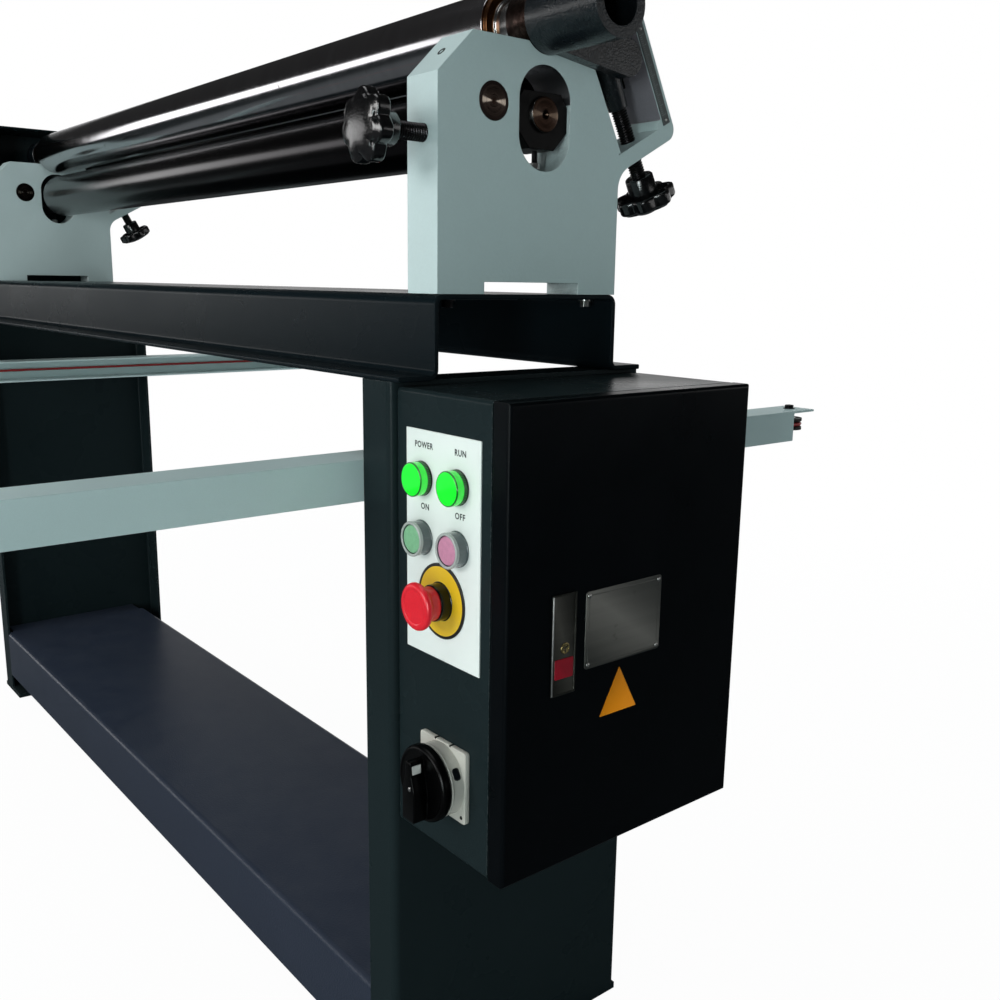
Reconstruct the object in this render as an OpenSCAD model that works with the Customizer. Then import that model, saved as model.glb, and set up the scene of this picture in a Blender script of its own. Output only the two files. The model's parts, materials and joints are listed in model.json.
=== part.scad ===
// Motorised three-roll plate rolling machine on a folded steel stand.
// Frame: X runs along the rolls (+X is the end with the control cabinet),
// Y runs to the rear, Z is up. The origin is on the floor at the machine's middle.

/* [Rolls] */
// Diameter of the three rolls
roll_d = 75; // [60:1:80]
// Length of the ground body of each roll
roll_len = 1350; // [900:10:1600]
// Gap between the top and the lower roll
nip = 6.6; // [5:0.2:9]
// Diameter of the top roll's journals
top_journal_d = 40; // [34:1:44]
// Diameter of the lower roll's journals
lower_journal_d = 32; // [26:1:36]
// Diameter of the rear roll's journals
rear_journal_d = 28; // [22:1:32]
// Width of the bronze thrust ring on each end of the top roll
thrust_ring_w = 8; // [5:1:12]

/* [End frames] */
// Thickness of each cast end frame
frame_t = 46; // [40:1:52]
// Space between the end of a roll body and an end frame
roll_end_gap = 30; // [24:1:40]
// Depth of an end frame at its foot
frame_depth = 222; // [210:1:240]
// Height of an end frame's flat top over the bed
frame_h = 225; // [220:1:232]
// Size of the chamfer at the front of the top
frame_chamfer = 38; // [30:1:44]
// Height of the lower roll's axis over the bed
lower_axis_h = 164; // [158:1:168]
// Distance of the top and lower roll axes from the frame's front face
roll_axis_y = 124; // [120:1:128]
// Width of the upright slot for the lower bearing block
slot_w = 63; // [58:1:66]
// Height of the upright slot
slot_h = 94; // [90:1:100]
// Height of the slot's middle over the bed
slot_mid_h = 160; // [157:1:163]
// Diameter of the flush pivot pin
pivot_d = 34; // [28:1:36]
// Distance of the pivot pin from the frame's front face
pivot_y = 62; // [56:1:66]
// Height of the pivot pin over the bed
pivot_h = 169; // [168:1:174]
// Length of the recess under the frame's foot
foot_recess_len = 118; // [90:1:130]
// Height of the recess under the frame's foot
foot_recess_h = 11; // [8:1:14]
// Tilt of the rear guide from the horizontal
guide_angle = 62; // [60:0.5:64]
// Width of the rear guide channel
guide_w = 67; // [62:1:70]
// Distance of the guide's rear wall face from the frame's front foot corner
guide_rear = 345; // [338:1:350]
// Thickness of the guide's rear wall
guide_wall = 15; // [12:1:18]
// Thickness of the lug that closes the guide below
guide_lug = 16; // [12:1:20]
// Length of the guide's rear wall up from the lug's underside
guide_len = 125; // [116:1:132]

/* [Adjusting screws and knobs] */
// Diameter of the front adjusting screws
front_screw_d = 16; // [14:1:18]
// Height of the front adjusting screws over the bed
front_screw_h = 138; // [137:1:141]
// Distance of the front screws from the frame's outer face
front_screw_inset = 22; // [16:1:25]
// Diameter of the rear adjusting screws
rear_screw_d = 16; // [12:1:16]
// Distance of the rear screws from the frame's outer face
rear_screw_inset = 20; // [18:1:21]
// Across the lobes of a star knob
knob_d = 66; // [56:1:68]
// Thickness of a star knob's lobed disc at its rim
knob_t = 14; // [12:1:18]
// Height of the crown on a star knob's face
knob_dome = 4; // [2:0.5:6]
// Diameter of the flat on a star knob's crown
knob_face_d = 30; // [20:1:40]
// Radius of a star knob's lobes
lobe_r = 8; // [6:0.5:9]
// Length of a star knob's hub
hub_len = 18; // [12:1:20]
// Diameter of a star knob's hub
hub_d = 30; // [26:1:34]
// Bare screw between the hub and the casting at the front
front_screw_free = 32; // [28:1:50]
// Bare screw between the hub and the lug at the rear
rear_screw_free = 21; // [18:1:30]

/* [Top roll housing] */
// Outer diameter of the top roll's bearing sleeve
sleeve_d = 60; // [56:1:64]
// Length that the sleeve stands out of the frame
sleeve_out = 92; // [80:1:100]
// Length of the sleeve inside the frame
sleeve_in = 28; // [24:1:34]
// Thickness of the housing's side arm
arm_plate_t = 14; // [12:1:20]
// Diameter of the boss round the rear screw
boss_d = 25; // [24:1:27]

/* [Stand] */
// Height of the bed's top over the floor
bed_h = 835; // [780:5:900]
// Width over the bed's webs
bed_w = 228; // [224:1:240]
// Depth of the bed's webs
bed_web_h = 77; // [70:1:90]
// Width of the bed's bottom flanges
bed_flange_w = 39; // [30:1:45]
// Sheet thickness of the bed
bed_t = 5; // [4:0.5:6]
// Outer radius of the bed's folds
bed_fold_r = 10; // [8:0.5:14]
// Width of a leg's front and rear flanges
leg_flange_w = 46; // [40:1:54]
// Distance of a leg's web from the frame's outer face
leg_inset = 13; // [10:1:18]
// Sheet thickness of the legs
leg_t = 4; // [3:0.5:5]
// Outer radius of the legs' upright folds
leg_fold_r = 8; // [6:0.5:8]
// Width of the foot plate under each leg
foot_w = 96; // [90:1:110]
// Thickness of the foot plates
foot_t = 8; // [6:1:12]
// Diameter of the floor anchor holes
anchor_d = 14; // [12:1:18]
// Distance between a leg's two anchor holes
anchor_gap = 240; // [200:5:260]
// Height of the shelf's top over the floor
shelf_h = 126; // [110:1:160]
// Depth of the shelf's front and rear lips
shelf_lip = 91; // [70:1:100]
// Depth of the shelf from front to rear
shelf_depth = 284; // [260:1:300]
// Sheet thickness of the shelf
shelf_t = 3; // [2:0.5:4]
// Outer radius of the shelf's folds
shelf_fold_r = 8; // [6:0.5:12]

/* [Control cabinet] */
// Height of the cabinet
cab_h = 421; // [380:1:430]
// Depth of the cabinet from front to rear
cab_depth = 300; // [290:1:300]
// Width of the cabinet's body
cab_w = 135; // [125:1:160]
// Sheet thickness of the cabinet and its door
cab_t = 2; // [1.5:0.5:3]
// Outer radius of the folds on the cabinet and its door
cab_fold_r = 4; // [3.5:0.5:6]
// Thickness of the door's tray
door_t = 20; // [16:1:26]
// Gap between the cabinet's body and its door
door_gap = 1.5; // [1:0.5:3]
// Distance of the cabinet's top below the bed's top
cab_drop = 81; // [78:1:90]
// Diameter of the door's hinge knuckles
knuckle_d = 10; // [8:1:12]
// Length of a hinge knuckle
knuckle_h = 30; // [20:1:40]
// Distance of the hinges from the cabinet's top and bottom
hinge_end = 60; // [40:1:80]
// Width of the latch strip on the door
latch_w = 30; // [24:1:34]
// Height of the latch strip
latch_h = 98; // [80:1:110]
// Distance of the latch strip from the door's front edge
latch_front = 49; // [40:1:60]
// Height of the latch strip over the door's lower edge
latch_low = 159; // [120:1:200]

/* [Control panel] */
// Width of the white control plate
panel_w = 107; // [104:1:112]
// Height of the white control plate
panel_h = 203; // [190:1:220]
// Distance of the control plate's top below the cabinet's top
panel_drop = 34; // [26:1:40]
// Height of the signal lamps' middle below the plate's top
lamp_drop = 43; // [38:1:46]
// Height of the push buttons' middle below the plate's top
button_drop = 95.5; // [88:0.5:100]
// Height of the emergency button's middle below the plate's top
mushroom_drop = 148; // [146:1:152]
// Distance from the plate's middle to each column of lamps and buttons
column_half = 26; // [24:1:28]
// Diameter of a signal lamp's lens
lamp_d = 31; // [26:1:34]
// Length that a signal lamp stands out of the plate
lamp_out = 13; // [10:0.5:16]
// Diameter of a push button's collar
button_collar_d = 30; // [28:1:34]
// Length that a push button's collar stands out of the plate
button_out = 12; // [10:0.5:15]
// Diameter of a push button's cap
button_cap_d = 22; // [18:1:23]
// Travel of the ON and OFF buttons
button_travel = 3; // [2:0.5:4]
// Diameter of the emergency button's head
mushroom_d = 41; // [38:1:44]
// Length that the emergency button's head stands out of the plate
mushroom_out = 29; // [28:1:32]
// Diameter of the ring plate under the emergency button
ring_d = 67; // [60:1:70]
// Travel of the emergency button
mushroom_travel = 4; // [3:0.5:6]
// Side of the main switch's square plate
switch_side = 68; // [66:1:72]
// Diameter of the main switch's handle
switch_handle_d = 60; // [54:1:62]
// Length that the main switch's collar stands out of the cabinet
switch_collar_out = 16; // [12:1:20]
// Thickness of the main switch's handle disc
switch_disc_t = 11; // [8:1:13]
// Height of the grip on the main switch's handle
grip_out = 12; // [8:1:16]
// Width of the lower end of the main switch's grip
grip_w = 18; // [14:1:22]
// Distance of the main switch's axis below the cabinet's top
switch_drop = 345; // [330:1:360]

/* [Trip rope arms] */
// Height of an arm's channel
arm_h = 40; // [36:1:46]
// Width of an arm's top and bottom flanges
arm_flange_w = 50; // [44:1:56]
// Sheet thickness of the arms
arm_t = 3; // [2:0.5:4]
// Distance of an arm's top below the bed's top
arm_drop = 153; // [140:1:170]
// Reach of each arm's web from the machine's middle
arm_reach = 515; // [480:5:560]
// Length that the top flange runs past the web
arm_lip = 44; // [38:1:50]
// Diameter of a rope pulley
pulley_d = 36; // [32:1:40]
// Diameter of the red trip rope
rope_d = 5; // [4:0.5:6]

/* [Drive end] */
// Width of the gear guard
guard_w = 120; // [110:1:140]
// Depth of the gear guard from front to rear
guard_depth = 224; // [216:1:226]
// Height of the gear guard's top over the bed
guard_h = 295; // [285:1:310]
// Width of the motor housing
motor_box_w = 200; // [180:1:220]
// Length of a cooling slot in the motor housing
vent_len = 70; // [40:1:80]
// Width of a cooling slot
vent_w = 6; // [4:0.5:8]
// Distance between neighbouring cooling slots
vent_pitch = 16; // [14:1:20]
// Cooling slots in each of the two columns
vent_count = 8; // [4:1:10]
// Distance of the lowest cooling slot over the housing's bottom
vent_low = 60; // [40:1:90]
// Sheet thickness of the gear guard
guard_t = 3; // [2:0.5:4]
// Radius of the gear guard's upper corners
guard_corner = 40; // [20:1:60]

/* [Hidden] */

// Clearances
run_gap = 0.05;
seat_gap = 0.3;
slide_gap = 0.3;
blend_step = 0.2;

// Frame positions
frame_in_x = roll_len / 2 + roll_end_gap;
frame_out_x = frame_in_x + frame_t;
frame_front_y = -118;
top_axis_h = lower_axis_h + roll_d + nip;
axis_y = frame_front_y + roll_axis_y;
lower_axis_z = bed_h + lower_axis_h;
top_axis_z = bed_h + top_axis_h;
guide_front = guide_rear - guide_wall - guide_w;
guide_mid = guide_rear - guide_wall - guide_w / 2;
rear_axis_t = 90;
block_top = 20;
block_low = -31;
stop_screw_d = 6;
boss_t = 96;
boss_low_t = 50;
rear_screw_top = 106;
rear_block_t = 12;
rear_block_len = 60;
scale_w = 10;
scale_t = 0.8;
scale_len = 100;
foot_recess_y = 53;
lug_fillet = 26;
stop_screw_x = frame_out_x - 14;
stop_screw_low = slot_mid_h - slot_h / 2 - 12;
tip_r = 12;
front_screw_in = 84;

// Point at distance n from the foot corner across the guide and t up along it
function guide_point(n, t) = [n * sin(guide_angle) - t * cos(guide_angle),
                              n * cos(guide_angle) + t * sin(guide_angle)];
function guide_y(n, t) = frame_front_y + guide_point(n, t)[0];
function guide_z(n, t) = bed_h + guide_point(n, t)[1];
rear_axis_y = guide_y(guide_mid, rear_axis_t);
rear_axis_z = guide_z(guide_mid, rear_axis_t);

// Stand positions
bed_mid_y = frame_front_y + frame_depth / 2;
bed_under_z = bed_h - bed_web_h;
leg_out_x = frame_out_x - leg_inset;
leg_in_x = leg_out_x - leg_flange_w;
leg_depth = bed_w + 2 * bed_flange_w - 2 * bed_mid_y;
anchor_x = leg_out_x - foot_w + 17;

// Cabinet positions
cab_x = leg_out_x;
cab_top = bed_h - cab_drop;
cab_bottom = cab_top - cab_h;
cab_front_y = -cab_depth / 2 - 2;
cab_rear_y = cab_front_y + cab_depth;
cab_open_x = cab_x + cab_w;
door_x = cab_open_x + door_gap;
hinge_x = cab_open_x;
hinge_y = cab_rear_y + knuckle_d / 2 + 0.5;
hinge_pin_d = 5;
hinge_leaf_w = 12;
hinge_zs = [cab_bottom + hinge_end, cab_top - hinge_end - 2 * knuckle_h];
latch_t = 2;
stud_len = 18;

// Panel positions
panel_side = 15.9;
columns_side = 66;
panel_mid_x = cab_x + panel_side + panel_w / 2;
columns_x = cab_x + columns_side;
panel_top = cab_top - panel_drop;
lamp_z = panel_top - lamp_drop;
button_z = panel_top - button_drop;
mushroom_z = panel_top - mushroom_drop;
panel_t = 1.5;
panel_face_y = cab_front_y - panel_t;
switch_x = cab_x + 75.5;
switch_z = cab_top - switch_drop;
device_hole_d = 22;
device_depth = 46;
cap_sink = 1;
cap_floor = 1.5;
ring_t = 1.5;
skirt_d = 29.6;
stem_d = 16;
switch_plate_t = 5;
shaft_d = 14;

// Arm positions
arm_top_h = bed_h - arm_drop;
arm_x = leg_in_x;
rope_x = arm_x - arm_flange_w / 2;
rope_y = arm_reach + arm_lip / 2;
rope_z = arm_top_h - arm_h / 2;

$fn = 64;

// Extrudes a Y-Z outline along +X from x0
module along_x(x0, len) {
    translate([x0, 0, 0]) rotate([90, 0, 90]) linear_extrude(len) children();
}

module rod_x(x0, len, d, y, z) {
    translate([x0, y, z]) rotate([0, 90, 0]) cylinder(h = len, d = d);
}

module rod_y(x, y0, len, d, z) {
    translate([x, y0, z]) rotate([-90, 0, 0]) cylinder(h = len, d = d);
}

// Outline whose two corners at x1 are round
module round_end(x0, x1, y0, y1, corner_r) {
    translate([x0, y0]) square([x1 - x0 - corner_r, y1 - y0]);
    translate([x0, y0 + corner_r]) square([x1 - x0, y1 - y0 - 2 * corner_r]);
    for (y = [y0 + corner_r, y1 - corner_r]) translate([x1 - corner_r, y]) circle(r = corner_r);
}

// Upright outline with round upper corners, from y0 to y1 and from z0 to z1
module round_top(y0, y1, z0, z1, corner_r) {
    translate([y0, z0]) square([y1 - y0, z1 - z0 - corner_r]);
    translate([y0 + corner_r, z0]) square([y1 - y0 - 2 * corner_r, z1 - z0]);
    for (y = [y0 + corner_r, y1 - corner_r]) translate([y, z1 - corner_r]) circle(r = corner_r);
}

// Outline with four round corners
module round_outline(y0, y1, z0, z1, corner_r) {
    round_top(y0, y1, z0 + corner_r, z1, corner_r);
    translate([y0 + corner_r, z0]) square([y1 - y0 - 2 * corner_r, 2 * corner_r]);
    for (y = [y0 + corner_r, y1 - corner_r]) translate([y, z0 + corner_r]) circle(r = corner_r);
}

// Outline of a tapered link: two circles and straight flanks just inside their tangents
module tapered_link(p, p_r, q, q_r) {
    way = q - p;
    heading = atan2(way[1], way[0]);
    spread = acos((p_r - q_r) / norm(way));
    flank = [for (turn = [heading - spread, heading + spread]) [cos(turn), sin(turn)]];
    p_in = p_r - blend_step;
    q_in = q_r - blend_step;
    translate(p) circle(r = p_r);
    translate(q) circle(r = q_r);
    polygon([p + p_in * flank[0], q + q_in * flank[0], q + q_in * flank[1], p + p_in * flank[1]]);
}

// Stands its children on the rear guide's line: Z up the guide, Y to the rear wall
module on_guide(x, t) {
    translate([x, guide_y(guide_mid, t), guide_z(guide_mid, t)])
        rotate([90 - guide_angle, 0, 0]) children();
}

// Outline of the end frame's body up to the rear guide's front edge
module frame_outline() {
    guide_low = guide_point(guide_front, guide_lug);
    guide_top_y = (guide_front - frame_h * cos(guide_angle)) / sin(guide_angle);
    polygon([[0, 0], [frame_depth, 0], [frame_depth, guide_low[1]], guide_low,
             [guide_top_y, frame_h], [frame_chamfer, frame_h], [0, frame_h - frame_chamfer]]);
}

// Lug and rear wall that make the inclined guide
module guide_outline() {
    inner = guide_rear - guide_wall;
    polygon([guide_point(guide_front - 10, 0), guide_point(guide_rear - tip_r, 0),
             guide_point(guide_rear, tip_r), guide_point(guide_rear, guide_len),
             guide_point(inner, guide_len), guide_point(inner, guide_lug),
             guide_point(guide_front - 10, guide_lug)]);
}

// Concave fillet between the frame's rear face and the lug's underside
module lug_fillet_outline() {
    fillet_y = frame_depth + lug_fillet;
    fillet_z = (fillet_y * cos(guide_angle) - lug_fillet) / sin(guide_angle);
    reach = lug_fillet + 5;
    lug_z = fillet_z + reach * sin(guide_angle);
    difference() {
        polygon([[frame_depth - 5, fillet_z], [fillet_y, fillet_z],
                 [fillet_y - reach * cos(guide_angle), lug_z], [frame_depth - 5, lug_z]]);
        translate([fillet_y, fillet_z]) circle(r = lug_fillet);
    }
}

module end_frame() {
    translate([0, frame_front_y, bed_h]) difference() {
        union() {
            along_x(frame_in_x, frame_t) frame_outline();
            along_x(frame_in_x, frame_t) guide_outline();
            along_x(frame_in_x, frame_t) lug_fillet_outline();
            tip = guide_point(guide_rear - tip_r, tip_r);
            rod_x(frame_in_x, frame_t, 2 * tip_r, tip[0], tip[1]);
        }
        // Upright slot for the lower bearing block
        slot_r = slot_w / 2;
        slot_rise = slot_h / 2 - slot_r;
        rod_x(frame_in_x - 1, frame_t + 2, slot_w, roll_axis_y - 1, slot_mid_h + slot_rise);
        rod_x(frame_in_x - 1, frame_t + 2, slot_w, roll_axis_y - 1, slot_mid_h - slot_rise);
        translate([frame_in_x - 1, roll_axis_y - 1 - slot_r, slot_mid_h - slot_rise])
            cube([frame_t + 2, slot_w, 2 * slot_rise]);
        // Cradle for the top roll's sleeve
        rod_x(frame_in_x - 1, frame_t + 2, sleeve_d + 2 * run_gap, roll_axis_y, top_axis_h);
        // Bore for the pivot pin
        rod_x(frame_in_x - 1, frame_t + 2, pivot_d + 2 * run_gap, pivot_y, pivot_h);
        // Hole for the front screw, through to the slot
        rod_y(frame_out_x - front_screw_inset, -1, roll_axis_y, front_screw_d + 2 * run_gap,
              front_screw_h);
        // Hole for the stop screw in the slot's floor
        translate([stop_screw_x, roll_axis_y - 1, stop_screw_low])
            cylinder(h = 30, d = stop_screw_d + 2 * run_gap);
        // Hole for the rear screw, along the guide through the lug
        lug_low = guide_point(guide_mid, -5);
        translate([frame_out_x - rear_screw_inset, lug_low[0], lug_low[1]])
            rotate([90 - guide_angle, 0, 0]) cylinder(h = guide_lug + 10, d = rear_screw_d + 2 * run_gap);
        // Recess under the foot
        translate([frame_in_x - 1, foot_recess_y, -1])
            cube([frame_t + 2, foot_recess_len, foot_recess_h + 1]);
    }
}

module end_frame_right() { color("#a3aeac") end_frame(); }
module end_frame_left() { color("#a3aeac") mirror([1, 0, 0]) end_frame(); }

// Quarter of a sheet's fold, from the first axis to the second
module fold(fold_r, sheet_t) {
    intersection() {
        difference() {
            circle(r = fold_r);
            circle(r = fold_r - sheet_t);
        }
        square(fold_r);
    }
}

// Right half of the bed's hat section
module bed_outline() {
    half = bed_w / 2;
    flange_y = half - bed_t + bed_fold_r;
    translate([0, -bed_t]) square([half - bed_fold_r, bed_t]);
    translate([half - bed_fold_r, -bed_fold_r]) fold(bed_fold_r, bed_t);
    translate([half - bed_t, bed_fold_r - bed_web_h]) square([bed_t, bed_web_h - 2 * bed_fold_r]);
    translate([flange_y, bed_fold_r - bed_web_h]) rotate(180) fold(bed_fold_r, bed_t);
    translate([flange_y, -bed_web_h]) square([half + bed_flange_w - flange_y, bed_t]);
}

// Bed: an inverted folded hat section
module bed() {
    color("#2f383b") translate([0, bed_mid_y, bed_h])
        along_x(-frame_out_x, 2 * frame_out_x) for (side = [0, 1]) mirror([side, 0]) bed_outline();
}

// Leg: a wide folded channel, open towards the machine's middle, on a foot plate
module leg() {
    half = leg_depth / 2;
    height = bed_under_z - foot_t;
    difference() {
        union() {
            translate([0, 0, foot_t]) linear_extrude(height)
                round_end(leg_in_x, leg_out_x, -half, half, leg_fold_r);
            translate([leg_out_x - foot_w, -half, 0]) cube([foot_w, leg_depth, foot_t]);
        }
        translate([0, 0, foot_t]) linear_extrude(height - leg_t)
            round_end(leg_in_x - 1, leg_out_x - leg_t, leg_t - half, half - leg_t, leg_fold_r - leg_t);
        for (side = [-1, 1]) translate([anchor_x, side * anchor_gap / 2, -1])
            cylinder(h = foot_t + 2, d = anchor_d);
    }
}

module leg_right() { color("#2c3437") leg(); }
module leg_left() { color("#2c3437") mirror([1, 0, 0]) leg(); }

// Shelf: a folded tray between the legs, its top running on into their channels
module shelf() {
    half_x = leg_in_x - seat_gap;
    tab_x = leg_out_x - leg_t - seat_gap;
    tab_y = leg_t + shelf_fold_r;
    color("#252b2e") translate([0, -leg_depth / 2, shelf_h]) {
        difference() {
            along_x(-half_x, 2 * half_x) round_top(0, shelf_depth, -shelf_lip, 0, shelf_fold_r);
            along_x(-half_x - 1, 2 * half_x + 2) round_top(shelf_t, shelf_depth - shelf_t,
                -shelf_lip - 1, -shelf_t, shelf_fold_r - shelf_t);
        }
        translate([-tab_x, tab_y, -shelf_t]) cube([2 * tab_x, shelf_depth - 2 * tab_y, shelf_t]);
    }
}

// Rolls: ground body with stepped journals
module top_roll() {
    sleeve_start = frame_out_x - sleeve_in;
    color("#b9bcc0") {
        rod_x(-roll_len / 2, roll_len, roll_d, axis_y, top_axis_z);
        for (side = [0, 1]) mirror([side, 0, 0]) {
            rod_x(roll_len / 2 - 1, thrust_ring_w + 1, roll_d - 9, axis_y, top_axis_z);
            rod_x(roll_len / 2, sleeve_start - 0.5 - roll_len / 2, sleeve_d - 8, axis_y, top_axis_z);
            rod_x(roll_len / 2, frame_out_x + sleeve_out * 0.5 - roll_len / 2, top_journal_d, axis_y,
                  top_axis_z);
        }
    }
}

module lower_roll() {
    color("#b3b6b8") {
        rod_x(-roll_len / 2, roll_len, roll_d, axis_y, lower_axis_z);
        rod_x(-frame_out_x, 2 * frame_out_x, lower_journal_d, axis_y, lower_axis_z);
    }
}

module rear_roll() {
    color("#b3b6b8") {
        rod_x(-roll_len / 2, roll_len, roll_d, rear_axis_y, rear_axis_z);
        rod_x(-frame_in_x - rear_block_t, 2 * (frame_in_x + rear_block_t), rear_journal_d,
              rear_axis_y, rear_axis_z);
    }
}

// Bearing block of the lower roll, sliding in the frame's upright slot
module lower_block() {
    half = slot_w / 2 - slide_gap;
    difference() {
        along_x(frame_in_x + 2, frame_t - 6) translate([axis_y - 1, lower_axis_z]) polygon([
            [-half + 8, block_top], [half - 8, block_top], [half, block_top - 12], [half, -14],
            [half - 16, block_low], [16 - half, block_low], [-half, -14], [-half, block_top - 12]]);
        rod_x(frame_in_x - 1, frame_t + 2, lower_journal_d + 2 * run_gap, axis_y, lower_axis_z);
    }
}

module lower_blocks() {
    color("#303436") for (side = [0, 1]) mirror([side, 0, 0]) lower_block();
}

// Bearing block of the rear roll, at the inner side of the inclined guide
module rear_block() {
    half = guide_w / 2 - slide_gap;
    difference() {
        on_guide(frame_in_x, rear_axis_t) translate([0, -half, -rear_block_len / 2])
            cube([rear_block_t, 2 * half, rear_block_len]);
        rod_x(frame_in_x - 1, frame_t, rear_journal_d + 2 * run_gap, rear_axis_y, rear_axis_z);
    }
}

module rear_blocks() {
    color("#8d8680") for (side = [0, 1]) mirror([side, 0, 0]) rear_block();
}

// Flush pins on which the lower bearing levers turn
module pivot_pins() {
    color("#7a7067") for (side = [0, 1]) mirror([side, 0, 0])
        rod_x(frame_in_x, frame_t, pivot_d, frame_front_y + pivot_y, bed_h + pivot_h);
}

// Stop screws under the lower bearing blocks
module stop_screws() {
    screw_top = lower_axis_h + block_low - seat_gap;
    color("#5b5c5c") for (side = [0, 1]) mirror([side, 0, 0])
        translate([stop_screw_x, axis_y - 1, bed_h + stop_screw_low])
            cylinder(h = screw_top - stop_screw_low, d = stop_screw_d);
}

// Graduated strips on the rear walls of the guides
module guide_scales() {
    color("#3f4a48") for (side = [0, 1]) mirror([side, 0, 0])
        on_guide(frame_out_x, guide_lug) translate([0, guide_w / 2 + 1, 0])
            cube([scale_t, scale_w, scale_len]);
}

// Cast housing of the top roll: sleeve, tapered arm and the boss tube over the rear screw
module release_housing() {
    sleeve_x = frame_out_x - sleeve_in;
    arm_x1 = frame_out_x + seat_gap;
    boss_end_r = boss_d / 2 + 5;
    boss_web_w = boss_d - 6;
    sleeve_mid = [axis_y, top_axis_z];
    boss_mid = [guide_y(guide_mid, boss_t), guide_z(guide_mid, boss_t)];
    color("#39464d") difference() {
        union() {
            rod_x(sleeve_x, sleeve_in + sleeve_out, sleeve_d, axis_y, top_axis_z);
            along_x(arm_x1, arm_plate_t) tapered_link(sleeve_mid, sleeve_d / 2 - 3, boss_mid, boss_end_r);
            on_guide(rear_screw_x, boss_t) translate([0, -boss_web_w / 2, -boss_web_w / 2])
                cube([rear_screw_inset + seat_gap + arm_plate_t, boss_web_w, boss_web_w]);
            on_guide(rear_screw_x, boss_low_t)
                cylinder(h = boss_t - boss_low_t, d1 = boss_d - 5, d2 = boss_d);
            on_guide(rear_screw_x, boss_t) cylinder(h = boss_end_r, d = boss_d);
        }
        rod_x(sleeve_x - 1, sleeve_in + sleeve_out + 2, top_journal_d + 2 * run_gap, axis_y, top_axis_z);
        on_guide(rear_screw_x, boss_low_t - 1)
            cylinder(h = rear_screw_top - boss_low_t + 3, d = rear_screw_d + 2 * run_gap);
    }
}

module top_bearing_left() {
    color("#39464d") mirror([1, 0, 0]) difference() {
        rod_x(frame_out_x - sleeve_in, sleeve_in + 40, sleeve_d, axis_y, top_axis_z);
        rod_x(frame_out_x - sleeve_in - 1, sleeve_in + 42, top_journal_d + 2 * run_gap, axis_y, top_axis_z);
    }
}

// Outline of a star knob: round lobes that run smoothly into round hollows
module star_outline() {
    lobes = 7;
    lobe_at = knob_d / 2 - lobe_r;
    hollow_at = 1.5 * lobe_at;
    gap = norm([hollow_at * cos(180 / lobes) - lobe_at, hollow_at * sin(180 / lobes)]);
    hollow_r = gap - lobe_r + blend_step;
    difference() {
        union() {
            polygon([for (i = [0 : 2 * lobes - 1]) let (reach = i % 2 == 0 ? lobe_at : hollow_at)
                     reach * [cos(i * 180 / lobes), sin(i * 180 / lobes)]]);
            for (i = [0 : lobes - 1]) rotate(i * 360 / lobes) translate([lobe_at, 0]) circle(r = lobe_r);
        }
        for (i = [0 : lobes - 1]) rotate((i + 0.5) * 360 / lobes)
            translate([hollow_at, 0]) circle(r = hollow_r);
    }
}

// Star knob along +Z: crowned disc with lobes, and a hub towards the screw
module star_knob(screw_d) {
    difference() {
        union() {
            intersection() {
                translate([0, 0, -knob_dome]) linear_extrude(knob_t + knob_dome) star_outline();
                union() {
                    translate([0, 0, -knob_dome]) cylinder(h = knob_dome, d1 = knob_face_d, d2 = knob_d + 2);
                    cylinder(h = knob_t, d = knob_d + 2);
                }
            }
            cylinder(h = knob_t + hub_len, d = hub_d);
        }
        translate([0, 0, knob_t]) cylinder(h = hub_len + 1, d = screw_d + 2 * run_gap);
    }
}

front_knob_y = frame_front_y - front_screw_free - hub_len - knob_t;
front_screw_x = frame_out_x - front_screw_inset;
front_screw_z = bed_h + front_screw_h;

module front_screw() {
    rod_y(front_screw_x, front_knob_y + knob_t, hub_len + front_screw_free + front_screw_in, front_screw_d,
          front_screw_z);
}

module front_knob() {
    translate([front_screw_x, front_knob_y, front_screw_z]) rotate([-90, 0, 0]) star_knob(front_screw_d);
}

module front_screw_right() { color("#26282a") front_screw(); }
module front_screw_left() { color("#26282a") mirror([1, 0, 0]) front_screw(); }
module front_knob_right() { color("#141516") front_knob(); }
module front_knob_left() { color("#141516") mirror([1, 0, 0]) front_knob(); }

rear_screw_x = frame_out_x - rear_screw_inset;
rear_knob_t = -rear_screw_free - hub_len - knob_t;

module rear_screw() {
    on_guide(rear_screw_x, rear_knob_t + knob_t)
        cylinder(h = rear_screw_top - rear_knob_t - knob_t, d = rear_screw_d);
}

module rear_knob() {
    on_guide(rear_screw_x, rear_knob_t) star_knob(rear_screw_d);
}

module rear_screw_right() { color("#26282a") rear_screw(); }
module rear_screw_left() { color("#26282a") mirror([1, 0, 0]) rear_screw(); }
module rear_knob_right() { color("#141516") rear_knob(); }
module rear_knob_left() { color("#141516") mirror([1, 0, 0]) rear_knob(); }

// Gear guard: closed sheet housing over the driven journals at the left end
module gear_guard() {
    y0 = bed_mid_y - guard_depth / 2;
    y1 = bed_mid_y + guard_depth / 2;
    z1 = bed_h + guard_h;
    x0 = frame_out_x + seat_gap;
    color("#2f383b") mirror([1, 0, 0]) difference() {
        along_x(x0, guard_w) round_top(y0, y1, cab_top, z1, guard_corner);
        along_x(x0 - 1, guard_w + 1 - guard_t) round_top(y0 + guard_t, y1 - guard_t, cab_top + guard_t,
            z1 - guard_t, guard_corner - guard_t);
    }
}

// Round-ended cooling slot about the origin
module vent_outline() {
    half = (vent_len - vent_w) / 2;
    translate([-half, -vent_w / 2]) square([2 * half, vent_w]);
    for (side = [-1, 1]) translate([side * half, 0]) circle(d = vent_w);
}

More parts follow.
